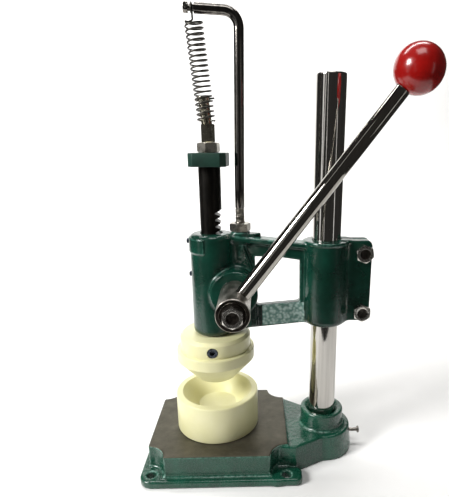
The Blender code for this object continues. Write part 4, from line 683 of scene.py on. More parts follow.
def baseField(x, y, z):
    s = baseSizes
    pad = boxDistance(x, y, s["padLeft"], s["padRight"], -s["padHalf"], s["padHalf"], 0.5)
    for cornerX in (s["padLeft"], s["padRight"]):
        for side in (-1, 1):
            notch = s["notch"] - np.hypot(x - cornerX, y - side * s["padHalf"])
            pad = blendMax(pad, notch, 1.2)
    block = slab(pad, z - s["padTop"] / 2, s["padTop"] / 2, 0.75)
    out = s["flangeOut"]
    flangeFlat = boxDistance(x, y, s["padLeft"] - out, s["padRight"], -s["padHalf"] - out,
                             s["padHalf"] + out, 13.0)
    for side in (-1, 1):
        outer, inner = side * (s["padHalf"] + out), side * (s["padHalf"] + out - 19.5)
        ear = boxDistance(x, y, s["padRight"] - s["notch"], s["earOut"], min(outer, inner),
                          max(outer, inner), 6.5)
        flangeFlat = blendMin(flangeFlat, ear, 4.0)
    flange = slab(flangeFlat, z - s["flangeTop"] / 2, s["flangeTop"] / 2, 2.2)
    flange = np.maximum(flange, -z)
    body = blendMin(block, flange, 3.2)
    grow = 2.5 * (1 - np.clip(z, 0, s["neckTop"]) / s["neckTop"])
    shoulder, rear, half, boss = -31.6, -38.7, 45.7, s["bossRadius"]
    sweep = math.radians(95)
    roundEnd = [(boss * math.cos(-sweep + 2 * sweep * i / 24), boss * math.sin(-sweep + 2 * sweep * i / 24))
                for i in range(25)]
    waist = (shoulder + roundEnd[0][0]) / 2
    outline = [(-47.9, -half), (shoulder, -half), (waist, -(half + boss) / 2)] + roundEnd + [
        (waist, boss), (rear, half), (-47.9, half)]
    neckFlat = outlineDistance(x, y, outline) - grow
    neck = slab(neckFlat, z - s["neckTop"] / 2, s["neckTop"] / 2, 1.8)
    body = blendMin(body, neck, 2.6)
    collar = post(x, y, z, 0, 0, s["collarRadius"], 10, s["collarTop"], 1.6)
    body = blendMin(body, collar, 4.0)
    # bores, the cored underside and the bolt holes
    column = np.hypot(x, y) - s["socket"] - np.maximum(z - (s["collarTop"] - 3.6), 0)
    body = blendMax(body, -np.maximum(column, 8.0 - z), 0.8)
    core = boxDistance(x, y, -167.6, -52.7, -54.0, 54.0, 18.0)
    core = np.maximum(core, 3.5 - np.abs(y))
    core = np.maximum(core, 3.5 - np.abs(x + press["throat"]))
    centre = np.hypot(x + press["throat"], y)
    core = np.maximum(core, 16.5 - centre)
    core = np.maximum(core, z - s["plate"])
    body = blendMax(body, -core, 1.5)
    body = np.maximum(body, -np.maximum(centre - 12.0, z - s["plate"]))
    body = np.maximum(body, 4.3 - centre)
    for holeX, holeY in s["boltHoles"]:
        for side in (-1, 1):
            body = blendMax(body, s["boltHole"] - np.hypot(x - holeX, y - side * holeY), 1.0)
    # the set screw's hole
    body = np.maximum(body, -np.maximum(np.hypot(y, z - press["setScrewZ"]) - 2.3, -x))
    return np.maximum(body, -z)


baseCasting = castPiece("base_casting_enamelled", baseField, (-188, -70, 0), (36, 70, 48),
                        baseSizes["cell"], finishes["baseEnamel"])
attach(baseCasting, "base")
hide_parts("base_casting")
print("base casting done")


# arm casting

armSizes = {
    "barrelRadius": 21.5, "clampRadius": 22.0, "clampFoot": 146.0, "clampTop": 232.0,
    "ramBore": 10.8, "columnBore": 14.3, "crossBoss": 23.0, "cell": 0.9,
    "blockHalf": 8.0, "webHalf": 5.0, "lowerBarHalf": 4.0, "upperBarHalf": 10.0, "earHalf": 10.5,
    "pinionChamber": 18.6, "bushBore": 12.3, "boltBore": 5.3, "gibBore": 2.8, "hangerBore": 4.9,
}


def armOutline(shares):
    return [(x * press["throat"], press["armFoot"] + z * 102.4) for x, z in shares]


blockOutline = armOutline([
    (-1.0, 0.0172), (-0.614, 0.0593), (-0.614, 0.536), (-0.662, 0.703), (-0.738, 0.915), (-0.790, 0.960),
    (-1.0, 0.970)])
lowerBarOutline = armOutline([
    (-1.0, 0.0172), (-0.80, 0.0172), (-0.669, 0.0335), (0.0, 0.1005), (0.0, 0.3263), (-1.0, 0.2354)])
panelOutline = armOutline([(-0.570, 0.0612), (-0.10, 0.0986), (-0.10, 0.3144), (-0.570, 0.2718)])
webOutline = armOutline([(-0.88, 0.1914), (0.0, 0.2393), (0.0, 0.8374), (-0.86, 0.9331)])
windowOutline = armOutline([(-0.6146, 0.1436), (-0.2310, 0.1436), (-0.2370, 0.7273), (-0.410, 0.7589),
                            (-0.628, 0.7685)])
upperBarOutline = armOutline([(-0.870, 0.9868 - 0.0586), (-0.10, 0.8896 - 0.0586), (-0.10, 0.8896),
                              (-0.870, 0.9868)])
# the hanger's lug, seen from above
lugPlan = [
    (-104.0, -8.0), (-80.0, -8.0), (-72.0, -6.0), (-65.2, -1.5), (-65.2, 1.5), (-72.0, 6.0), (-80.0, 8.0),
    (-104.0, 8.0)]


def panelMask(x, y, z):
    inside = outlineDistance(x, z, panelOutline)
    return np.clip(-inside / 0.8, 0, 1) * np.clip((-4.3 - y) / 0.5, 0, 1) * (y > -6.5)


def barTopPaintedHighlight(x, y, z):
    # painted highlight along the upper bar's top and front edge, laid into the pale rim colour
    top = 229.0 - 0.1141 * (x + 11.3)
    return (np.clip((z - top + 3.0) / 1.5, 0, 1) * np.clip((top + 0.7 - z) / 0.4, 0, 1) * 0.72
            * np.clip((x + 97.0) / 3, 0, 1) * np.clip((-24.0 - x) / 3, 0, 1) * (y > -12) * (y < 12))


def hubPaintedShadow(x, y, z):
    # painted shadow of the cross boss and hub on the short stretch of lower bar between the block and the
    # panel
    return (np.clip((x + 77.0) / 3, 0, 1) * np.clip((-64.6 - x) / 0.8, 0, 1)
            * np.clip((172.0 - z) / 4, 0, 1) * np.clip(-y / 2, 0, 1))


def armField(x, y, z):
    s = armSizes
    foot, top = press["armFoot"], press["barrelTop"]
    ramX = -press["throat"]
    barrel = post(x, y, z, ramX, 0, s["barrelRadius"], foot, top, 5.0)
    barrel = np.maximum(barrel, post(x, y, z, ramX, 0, s["barrelRadius"], foot, top + 20, 4.0))
    aside = np.abs(np.arctan2(y, -(x - ramX))) * s["barrelRadius"]
    band = post(x, y, z, ramX, 0, s["barrelRadius"] + 1.2, 222.4, 236.9, 0.9)
    band = blendMax(band, aside - math.radians(75) * s["barrelRadius"], 1.0)
    body = blendMin(barrel, band, 0.8)
    block = slab(outlineDistance(x, z, blockOutline), y, s["blockHalf"], 1.4)
    web = slab(outlineDistance(x, z, webOutline), y, s["webHalf"], 1.0)
    bossY = y + 2.25
    boss = slab(np.hypot(x + 91.5, z - press["pinionZ"]) - s["crossBoss"], bossY, 26.25, 1.6)
    middle = blendMin(web, block, 2.5)
    middle = blendMin(middle, boss, 4.5)
    window = np.maximum(outlineDistance(x, z, windowOutline), np.abs(y) - 13.0)
    middle = blendMax(middle, -window, 1.6)
    lowerBar = slab(outlineDistance(x, z, lowerBarOutline), y, s["lowerBarHalf"], 0.9)
    panel = slab(outlineDistance(x, z, panelOutline), y + 2.5, 2.5, 0.5)
    lowerBar = blendMin(lowerBar, panel, 0.6)
    upperBar = slab(outlineDistance(x, z, upperBarOutline), y, s["upperBarHalf"], 2.4)
    clamp = post(x, y, z, 0, 0, s["clampRadius"], s["clampFoot"], s["clampTop"], 1.0)
    clamp = np.maximum(clamp,
                       post(x, y, z, 0, 0, s["clampRadius"], s["clampFoot"], s["clampTop"] + 20, 5.0))
    lip = post(x, y, z, 0, 0, s["clampRadius"] + 1.0, 229.0, s["clampTop"], 0.9)
    clamp = blendMin(clamp, lip, 1.0)
    ears = slab(boxDistance(x, z, 7.0, 44.0, 150.0, 233.0, 6.0), y, s["earHalf"], 1.5)
    clamp = blendMin(clamp, ears, 3.5)
    body = blendMin(body, middle, 3.5)
    body = blendMin(body, lowerBar, 2.5)
    body = blendMin(body, upperBar, 2.0)
    body = blendMin(body, clamp, 3.0)
    # flat lug for the hanger, level with the barrel, and its spot face
    body = blendMin(body, slab(outlineDistance(x, y, lugPlan), z - 234.6, 5.2, 1.4), 1.5)
    body = blendMin(body, post(x, y, z, press["hangerX"], 0, 9.6, 236.0, 241.5, 0.6), 1.0)
    # bores, split and holes
    body = blendMax(body, s["ramBore"] - np.hypot(x - ramX, y), 0.9)
    body = blendMax(body, s["columnBore"] - np.hypot(x, y), 0.9)
    body = blendMax(body, -slab(7.0 - x, y, 1.5, 0.0), 0.8)
    pinion = np.hypot(x - press["pinionX"], z - press["pinionZ"])
    body = np.maximum(body, -np.maximum(pinion - s["pinionChamber"], -11.0 - y))
    body = np.maximum(body, -np.maximum(pinion - s["bushBore"], y))
    for boltZ in press["boltHeights"].values():
        body = blendMax(body, s["boltBore"] - np.hypot(x - press["boltX"], z - boltZ), 0.6)
    for gibZ in press["gibHeights"].values():
        body = np.maximum(body, -np.maximum(np.hypot(y, z - gibZ) - s["gibBore"], x - ramX))
    return np.maximum(body, -np.maximum(np.hypot(x - press["hangerX"], y) - s["hangerBore"], 212.5 - z))


# the panel's painted highlight, the painted highlight along the upper bar and the painted shadow beside the
# hub ride on these masks
armCasting = castPiece("arm_casting_enamelled", armField, (-137, -30, 137.5), (45, 25, 242),
                       armSizes["cell"], finishes["armEnamel"], {
                           "panelMask": panelMask, "paintedCornerShade": hubPaintedShadow, "rimWearAndGlint": barTopPaintedHighlight})
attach(armCasting, "arm")
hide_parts("arm_casting")
print("arm casting done")


# nylon dies

dieSizes = {
    "cupBase": 31.2, "cupRadius": 43.3, "cupHeight": 39.1, "mouth": 36.8, "floor": 20.0, "bowl": 16.8,
    "plungerNose": 88.0, "nose": 20.5, "flange": 40.1, "body": 36.2,
}


def makeCup():
    s = dieSizes
    base, top = s["cupBase"], s["cupBase"] + s["cupHeight"]
    profile = [(0, base + 15.0), (4.3, base + 15.0, 0.2), (4.3, base, 0.2), (s["cupRadius"], base, 1.2),
               (s["cupRadius"], top, 1.6), (s["mouth"], top, 1.1), (s["floor"], top - s["bowl"], 1.4),
               (0, top - s["bowl"])]
    cup = turnedPiece("cup_turned", profile, Matrix.Translation(axisRam), finishes["nylon"], 160)
    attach(cup, "base")
    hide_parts("lower_die")


def makePlunger():
    s = dieSizes
    low = s["plungerNose"]
    profile = [(0, low), (s["nose"], low, 1.5), (s["flange"], low + 21.6, 1.2),
               (s["flange"], low + 32.7, 1.2), (s["body"], low + 32.7, 0.4), (s["body"], low + 46.3, 0.8),
               (s["body"] - 3, low + 49.3, 0.8), (10.8, low + 49.3, 0.5), (10.8, low + 14.0, 0.3),
               (0, low + 14.0)]
    plunger = turnedPiece("plunger_turned", profile, Matrix.Translation(axisRam), finishes["nylon"], 160)
    screwFoot = (-press["throat"], 0, press["dieScrewZ"])
    hole = [(0, 10.0), (3.3, 10.0, 0), (3.3, 29.3, 0), (5.5, 29.3, 0), (5.5, 42.0, 0), (0, 42.0)]
    bore = turnedPiece("screw_bore", hole, axisPlace(screwFoot, (0, -1, 0)), finishes["nylon"], 48)
    boolean(plunger, bore, "DIFFERENCE")
    sharpen(plunger, 35)
    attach(plunger, "ram")
    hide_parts("upper_die")
    # socket head, sunk to the plunger's skin
    place = axisPlace(screwFoot, (0, -1, 0), math.radians(15))
    socket = hexRadius(5.0)
    levels = [(0, 10.8), (2.4, 10.8), (3.0, 11.5), (3.0, 29.6), (5.2, 29.6), (5.2, 35.0), (4.7, 35.6),
              (lambda a: socket(a) + 0.3, 35.6), (socket, 35.3), (socket, 32.6), (0, 32.3)]
    screw = rings("socket_screw", levels, place, finishes["screwSteel"], 72, 30)
    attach(screw, "ram")
    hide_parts("die_screw")


makeCup()
makePlunger()
print("dies done")


# column

def makeColumn():
    column = turnedPiece("column_plated", [(0, 8.3), (14.0, 8.3, 1.0), (14.0, 385.0, 1.6), (0, 385.0)],
                         Matrix.Identity(4), finishes["columnChrome"], 128)
    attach(column, "column")
    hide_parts("column")
    place = axisPlace((0, 0, press["setScrewZ"]), (1, 0, 0))
    profile = [(0, 14.3), (1.7, 14.3, 0.3), (2.0, 15.0, 0), (2.0, 40.6, 0.1), (3.6, 40.6, 0.5),
               (3.6, 42.4, 0.5), (0, 42.4)]
    screw = turnedPiece("set_screw_turned", profile, place, finishes["setScrewSteel"], 48)
    slotCorners = [place @ Vector(v) for v in boxCorners(-0.45, 0.45, -6, 6, 41.5, 45)]
    slot = finishMesh("slot_cutter", slotCorners, boxFaces, finishes["boltSteel"])
    boolean(screw, slot, "DIFFERENCE")
    sharpen(screw, 35)
    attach(screw, "base")
    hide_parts("column_set_screw")


makeColumn()
print("column done")


# geometry nodes

def newTree(name, inputs):
    tree = bpy.data.node_groups.new(name, "GeometryNodeTree")
    tree.interface.new_socket("Geometry", in_out="INPUT", socket_type="NodeSocketGeometry")
    for label, (kind, value) in inputs.items():
        socket = tree.interface.new_socket(label, in_out="INPUT", socket_type=kind)
        if value is not None:
            socket.default_value = value
    tree.interface.new_socket("Geometry", in_out="OUTPUT", socket_type="NodeSocketGeometry")
    entry = tree.nodes.new("NodeGroupInput")
    exitNode = tree.nodes.new("NodeGroupOutput")
    return tree, entry, exitNode


def closeTree(tree, exitNode, geometry, material):
    real = addNode(tree, "GeometryNodeRealizeInstances", {"Geometry": geometry})
    painted = addNode(tree, "GeometryNodeSetMaterial", {"Geometry": real.outputs[0], "Material": material})
    tree.links.new(painted.outputs[0], exitNode.inputs[0])


def grown(name, source, tree, values, material):
    # runs the tree on source and returns a plain mesh object
    step = source.modifiers.new(tree.name, "NODES")
    step.node_group = tree
    wanted = dict(values, Finish=material)
    for item in tree.interface.items_tree:
        if item.item_type == "SOCKET" and item.in_out == "INPUT" and item.name in wanted:
            step[item.identifier] = wanted[item.name]
    bpy.context.view_layer.update()
    evaluated = source.evaluated_get(bpy.context.evaluated_depsgraph_get())
    data = bpy.data.meshes.new_from_object(evaluated)
    source.modifiers.clear()
    bpy.data.objects.remove(source, do_unlink=True)
    data.name = name
    if not data.materials:
        data.materials.append(material)
    shape = bmesh.new()
    shape.from_mesh(data)
    bmesh.ops.remove_doubles(shape, verts=shape.verts, dist=0.002 * mm)
    bmesh.ops.recalc_face_normals(shape, faces=shape.faces)
    shape.to_mesh(data)
    shape.free()
    data.shade_smooth()
    return linked(name, data)


def pathObject(name, points):
    data = bpy.data.curves.new(name, "CURVE")
    data.dimensions = "3D"
    line = data.splines.new("POLY")
    line.points.add(len(points) - 1)
    for point, place in zip(line.points, points):
        point.co = (*(c * mm for c in place), 1)
    return linked(name, data)


def coilTree():
    # a close spiral, leaned about its foot, that runs on into the path given as geometry
    tree, entry, exitNode = newTree("coil spring", {
        "Turns": ("NodeSocketFloat", 19.0), "Coil radius": ("NodeSocketFloat", 7.6 * mm),
        "Height": ("NodeSocketFloat", 78.9 * mm), "Wire radius": ("NodeSocketFloat", 0.85 * mm),
        "Foot": ("NodeSocketVector", (0, 0, 0)), "Lean": ("NodeSocketVector", (0, 0, 0)),
        "Finish": ("NodeSocketMaterial", None)})
    get = entry.outputs
    spiral = addNode(tree, "GeometryNodeCurveSpiral", {
        "Resolution": 36, "Rotations": get["Turns"], "Start Radius": get["Coil radius"],
        "End Radius": get["Coil radius"], "Height": get["Height"], "Reverse": True})
    leaned = addNode(tree, "GeometryNodeTransform", {
        "Geometry": spiral.outputs[0], "Translation": get["Foot"], "Rotation": get["Lean"]})
    first = addNode(tree, "GeometryNodeCurveToPoints", {"Curve": leaned.outputs[0]}, mode="EVALUATED")
    second = addNode(tree, "GeometryNodeCurveToPoints", {"Curve": get["Geometry"]}, mode="EVALUATED")
    order = addNode(tree, "GeometryNodeInputIndex").outputs[0]
    later = addNode(tree, "ShaderNodeMath", {0: order, 1: 100000.0}, operation="ADD").outputs[0]
    marked = []
    for points, value in ((first, order), (second, later)):
        store = addNode(tree, "GeometryNodeStoreNamedAttribute", {
            "Geometry": points.outputs["Points"], "Name": "order", "Value": value},
            data_type="FLOAT", domain="POINT")
        marked.append(store.outputs[0])
    both = addNode(tree, "GeometryNodeJoinGeometry")
    for geometry in marked:
        tree.links.new(geometry, both.inputs[0])
    weight = addNode(tree, "GeometryNodeInputNamedAttribute", {"Name": "order"},
                     data_type="FLOAT").outputs[0]
    wire = addNode(tree, "GeometryNodePointsToCurves", {"Points": both.outputs[0], "Weight": weight})
    section = addNode(tree, "GeometryNodeCurvePrimitiveCircle",
                      {"Resolution": 12, "Radius": get["Wire radius"]})
    tube = addNode(tree, "GeometryNodeCurveToMesh", {
        "Curve": wire.outputs[0], "Profile Curve": section.outputs[0], "Fill Caps": True})
    closeTree(tree, exitNode, tube.outputs[0], get["Finish"])
    return tree


def threadTree():
    # a ridge that winds round a core; the core comes in as geometry
    tree, entry, exitNode = newTree("screw thread", {
        "Turns": ("NodeSocketFloat", 10.0), "Radius": ("NodeSocketFloat", 4.0 * mm),
        "Length": ("NodeSocketFloat", 10.0 * mm), "Ridge": ("NodeSocketFloat", 0.5 * mm),
        "Foot": ("NodeSocketVector", (0, 0, 0)), "Turn": ("NodeSocketVector", (0, 0, 0)),
        "Finish": ("NodeSocketMaterial", None)})
    get = entry.outputs
    spiral = addNode(tree, "GeometryNodeCurveSpiral", {
        "Resolution": 28, "Rotations": get["Turns"], "Start Radius": get["Radius"],
        "End Radius": get["Radius"], "Height": get["Length"], "Reverse": False})
    placed = addNode(tree, "GeometryNodeTransform", {
        "Geometry": spiral.outputs[0], "Translation": get["Foot"], "Rotation": get["Turn"]})
    section = addNode(tree, "GeometryNodeCurvePrimitiveCircle", {"Resolution": 4, "Radius": get["Ridge"]})
    ridge = addNode(tree, "GeometryNodeCurveToMesh", {
        "Curve": placed.outputs[0], "Profile Curve": section.outputs[0], "Fill Caps": True})
    both = addNode(tree, "GeometryNodeJoinGeometry")
    tree.links.new(ridge.outputs[0], both.inputs[0])
    tree.links.new(get["Geometry"], both.inputs[0])
    closeTree(tree, exitNode, both.outputs[0], get["Finish"])
    return tree


def rackTree():
    # wedge-shaped cutters in a row take the tooth spaces out of the bar given as geometry
    tree, entry, exitNode = newTree("rack teeth", {
        "Spaces": ("NodeSocketInt", 18), "Pitch": ("NodeSocketFloat", math.pi * 2 * mm),
        "First": ("NodeSocketVector", (0, 0, 0)), "Mouth": ("NodeSocketFloat", 2.0),
        "Cutter": ("NodeSocketVector", (4 * mm, 24 * mm, 2 * mm)), "Finish": ("NodeSocketMaterial", None)})
    get = entry.outputs
    cube = addNode(tree, "GeometryNodeMeshCube", {"Size": get["Cutter"]})
    position = addNode(tree, "GeometryNodeInputPosition").outputs[0]
    parts = addNode(tree, "ShaderNodeSeparateXYZ", {"Vector": position})
    outer = addNode(tree, "ShaderNodeMath", {0: parts.outputs["X"], 1: 0.0},
                    operation="GREATER_THAN").outputs[0]
    widen = addNode(tree, "ShaderNodeMix", {0: outer, 2: 1.0, 3: get["Mouth"]},
                    data_type="FLOAT").outputs[0]
    height = addNode(tree, "ShaderNodeMath", {0: parts.outputs["Z"], 1: widen},
                     operation="MULTIPLY").outputs[0]
    tapered = addNode(tree, "ShaderNodeCombineXYZ", {
        "X": parts.outputs["X"], "Y": parts.outputs["Y"], "Z": height})
    wedge = addNode(tree, "GeometryNodeSetPosition",
                    {"Geometry": cube.outputs[0], "Position": tapered.outputs[0]})
    rise = addNode(tree, "ShaderNodeCombineXYZ", {"Z": get["Pitch"]})
    row = addNode(tree, "GeometryNodeMeshLine", {
        "Count": get["Spaces"], "Start Location": get["First"], "Offset": rise.outputs[0]})
    cutters = addNode(tree, "GeometryNodeInstanceOnPoints",
                      {"Points": row.outputs[0], "Instance": wedge.outputs[0]})
    solidCutters = addNode(tree, "GeometryNodeRealizeInstances", {"Geometry": cutters.outputs[0]})
    cut = addNode(tree, "GeometryNodeMeshBoolean", {
        "Mesh 1": get["Geometry"], "Mesh 2": solidCutters.outputs[0]}, operation="DIFFERENCE")
    closeTree(tree, exitNode, cut.outputs[0], get["Finish"])
    return tree


coilSpring, screwThread, rackTeeth = coilTree(), threadTree(), rackTree()


# ram and what it carries

ramSizes = {"radius": 10.5, "low": 102.3, "top": 303.2, "pitchLine": 7.25, "module": 2.0,
            "stopWidth": 35.2, "stopLow": 303.5, "stopTop": 316.0}


def makeRam():
    s = ramSizes
    place = Matrix.Translation(axisRam)
    bar = turnedPiece("ram_bar", [(0, s["low"]), (s["radius"], s["low"], 1.0), (s["radius"], s["top"], 1.0),
                                  (6.3, s["top"], 0.4), (6.3, s["top"] - 16.3, 0.2), (0, s["top"] - 16.3)],
                      place, finishes["ramSteel"], 96)
    rootX, tipX = s["pitchLine"] - 2.5, s["pitchLine"] + 1.8
    quarter = math.pi * s["module"] / 4 + 0.1
    slope = math.tan(math.radians(20))
    rootHalf = quarter - 2.5 * slope
    reach = s["radius"] + 3.0
    mouthHalf = rootHalf + (reach - rootX) * slope
    pitch = math.pi * s["module"]
    # the flat that the teeth are cut in
    flatCorners = [(x - press["throat"], y, z) for x, y, z in boxCorners(
        tipX, 16, -16, 16, press["pinionZ"] - 5.5 * pitch, press["pinionZ"] + 12.5 * pitch)]
    flat = finishMesh("rack_flat", flatCorners, boxFaces, finishes["ramSteel"])
    boolean(bar, flat, "DIFFERENCE")
    ram = grown("ram_rack", bar, rackTeeth, {
        "Spaces": 18, "Pitch": pitch * mm, "Mouth": mouthHalf / rootHalf,
        "Cutter": ((reach - rootX) * mm, 26 * mm, 2 * rootHalf * mm),
        "First": ((-press["throat"] + (rootX + reach) / 2) * mm, 0, (press["pinionZ"] - 5 * pitch) * mm)},
        finishes["ramSteel"])
    sharpen(ram, 30)
    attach(ram, "ram")
    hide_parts("ram")


def octagon(half, corner, inset):
    # the corner cut shrinks with the inset so that all eight sides move in evenly
    h, c = half - inset, corner - (2 - math.sqrt(2)) * inset
    points = [(h, c - h), (h, h - c), (h - c, h), (c - h, h), (-h, h - c), (-h, c - h), (c - h, -h),
              (h - c, -h)]
    return softCorners([points[-1]] + points + [points[0]], 0.7)[1:-1]


def makeStop():
    # square block with cut corners, painted with the arm
    s = ramSizes
    low, top, bore = s["stopLow"], s["stopTop"], 6.3
    loops = []
    for inset, height in ((0.7, low), (0.2, low + 0.2), (0, low + 0.7), (0, top - 0.8), (0.25, top - 0.25),
                          (0.8, top)):
        loops.append([(x, y, height) for x, y in octagon(s["stopWidth"] / 2, 5.0, inset)])
    for height in (top, low):
        loops.append([(bore * x / math.hypot(x, y), bore * y / math.hypot(x, y), height)
                      for x, y, _ in loops[0]])
    place = Matrix.Translation(axisRam) @ Matrix.Rotation(math.radians(-4), 4, "Z")
    count = len(loops[0])
    vertices = [place @ Vector(v) for loop in loops for v in loop]
    faces = []
    for row in range(len(loops)):
        following = (row + 1) % len(loops)
        for step in range(count):
            after = (step + 1) % count
            faces.append((row * count + step, row * count + after, following * count + after,
                          following * count + step))
    stop = finishMesh("stop_block", vertices, faces, finishes["blockEnamel"], 28)
    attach(stop, "ram")
    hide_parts("stop_collar")
    nutPlace = Matrix.Translation((-press["throat"], 0, 316.3)) @ Matrix.Rotation(math.radians(-10), 4, "Z")
    nut = hexNut("collar_nut_chamfered", 19.0, 9.0, 6.3, nutPlace, finishes["nutSteel"])
    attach(nut, "ram")
    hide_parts("collar_nut")


springSizes = {
    "pivot": 333.6, "lean": 5.6, "coil": 7.6, "wire": 0.85, "turns": 19, "foot": 10.06, "top": 91.9,
    "grooveX": -123.75, "grooveZ": 437.27, "grooveRadius": 2.8,
}


def leaned(x, y, height):
    # from the leaning stud's own space, heights above its pivot, to the press's
    turn = Matrix.Rotation(-math.radians(springSizes["lean"]), 4, "Y")
    pivot = Matrix.Translation((-press["throat"], 0, springSizes["pivot"]))
    return pivot @ turn @ Matrix.Translation((x, y, height))


def makeStud():
    across = hexRadius(11.0)
    place = Matrix.Translation(axisRam) @ Matrix.Rotation(math.radians(38), 4, "Z")
    levels = [(0, 287.2), (5.4, 287.2), (6.0, 287.8), (6.0, 325.6), (lambda a: across(a) - 0.2, 325.6),
              (across, 325.9), (across, lambda a: 341.6 - max(0.0, across(a) - 5.3) * 0.55), (5.3, 341.6),
              (0, 341.6)]
    body = rings("stud_body", levels, place, finishes["studSteel"], 72, 24)
    profile = [(0, 0), (5.0, 0, 0), (5.0, 27.8, 0.1), (6.2, 27.9, 0.2), (6.2, 31.6, 0.4), (5.3, 32.4, 0.3),
               (0, 32.4)]
    neck = turnedPiece("stud_neck", profile, leaned(0, 0, 0), finishes["studSteel"], 64)
    boolean(body, neck, "UNION")
    sharpen(body, 26)
    stud = grown("stud_threaded", body, screwThread, {
        "Turns": 3.6, "Radius": 4.95 * mm, "Length": 15.0 * mm, "Ridge": 0.38 * mm,
        "Foot": tuple(leaned(0, 0, 10.5).translation * mm),
        "Turn": (0, -math.radians(springSizes["lean"]), 0)},
        finishes["studSteel"])
    sharpen(stud, 26)
    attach(stud, "ram")
    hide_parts("spring_stud")
    pinHeight = springSizes["foot"] + 4.5 * (springSizes["top"] - springSizes["foot"]) / springSizes["turns"]
    pin = turnedPiece("cross_pin", [(0, -5.0), (0.8, -5.0, 0.15), (0.8, 10.0, 0.2), (0, 10.0)],
                      leaned(0, 0, pinHeight) @ Matrix.Rotation(math.pi / 2, 4, "Y"), finishes["wire"], 24)
    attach(pin, "ram")
    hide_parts("spring_pin")


def curveThrough(points, steps):
    # Catmull-Rom through all but the end points
    route = []
    for before, start, end, after in zip(points, points[1:], points[2:], points[3:]):
        for step in range(steps):
            t = step / steps
            route.append(0.5 * (2 * start + (end - before) * t
                                + (2 * before - 5 * start + 4 * end - after) * t ** 2
                                + (3 * start - before - 3 * end + after) * t ** 3))
    return route


def makeSpring():
    s = springSizes
    rise = (s["top"] - s["foot"]) / s["turns"]
    extra = 4 / 9  # of a turn past the whole ones, as in the solid
    turns = s["turns"] + extra

    def onCoil(turn):
        angle = -tau * turn
        return leaned(s["coil"] * math.cos(angle), s["coil"] * math.sin(angle),
                      s["foot"] + rise * turn).translation

    last = onCoil(turns)
    wrap = s["grooveRadius"] + 0.3 + s["wire"]
    gx, gz = s["grooveX"], s["grooveZ"]
    climb = (gz - last.z) / 4
    offset = last.x - gx
    lead = [onCoil(turns - 0.04), last,
            Vector((last.x - offset * 0.45, 0.5 * s["coil"], last.z + climb * 0.35)),
            Vector((gx, wrap, last.z + climb)), Vector((gx, wrap, last.z + 2 * climb)),
            Vector((gx, wrap, gz)), Vector((gx, wrap / 2, gz + wrap))]
    path = curveThrough(lead, 8)[1:]
    sweep = math.radians(235)
    for step in range(25):
        angle = sweep * step / 24
        path.append(Vector((gx, wrap * math.cos(angle), gz + wrap * math.sin(angle))))
    path.append(path[-1] + Vector((0, -math.sin(sweep), math.cos(sweep))) * 1.7)
    foot = leaned(0, 0, s["foot"]).translation
    spring = grown("spring_coiled", pathObject("spring_lead", [tuple(p) for p in path]), coilSpring, {
        "Turns": float(turns), "Coil radius": s["coil"] * mm, "Height": rise * turns * mm,
        "Wire radius": s["wire"] * mm, "Foot": tuple(foot * mm),
        "Lean": (0, -math.radians(s["lean"]), 0)}, finishes["wire"])
    print("spring faces", len(spring.data.polygons))
    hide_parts("return_spring")
    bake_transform(spring)


makeRam()
makeStop()
makeStud()
makeSpring()
print("ram group done")


# spring hanger

hangerSizes = {
    "x": press["hangerX"], "leanX": -83.0, "radius": 4.6, "bend": 14.0, "crown": 435.7, "rise": 3.3,
    "thread": 265.0,
}


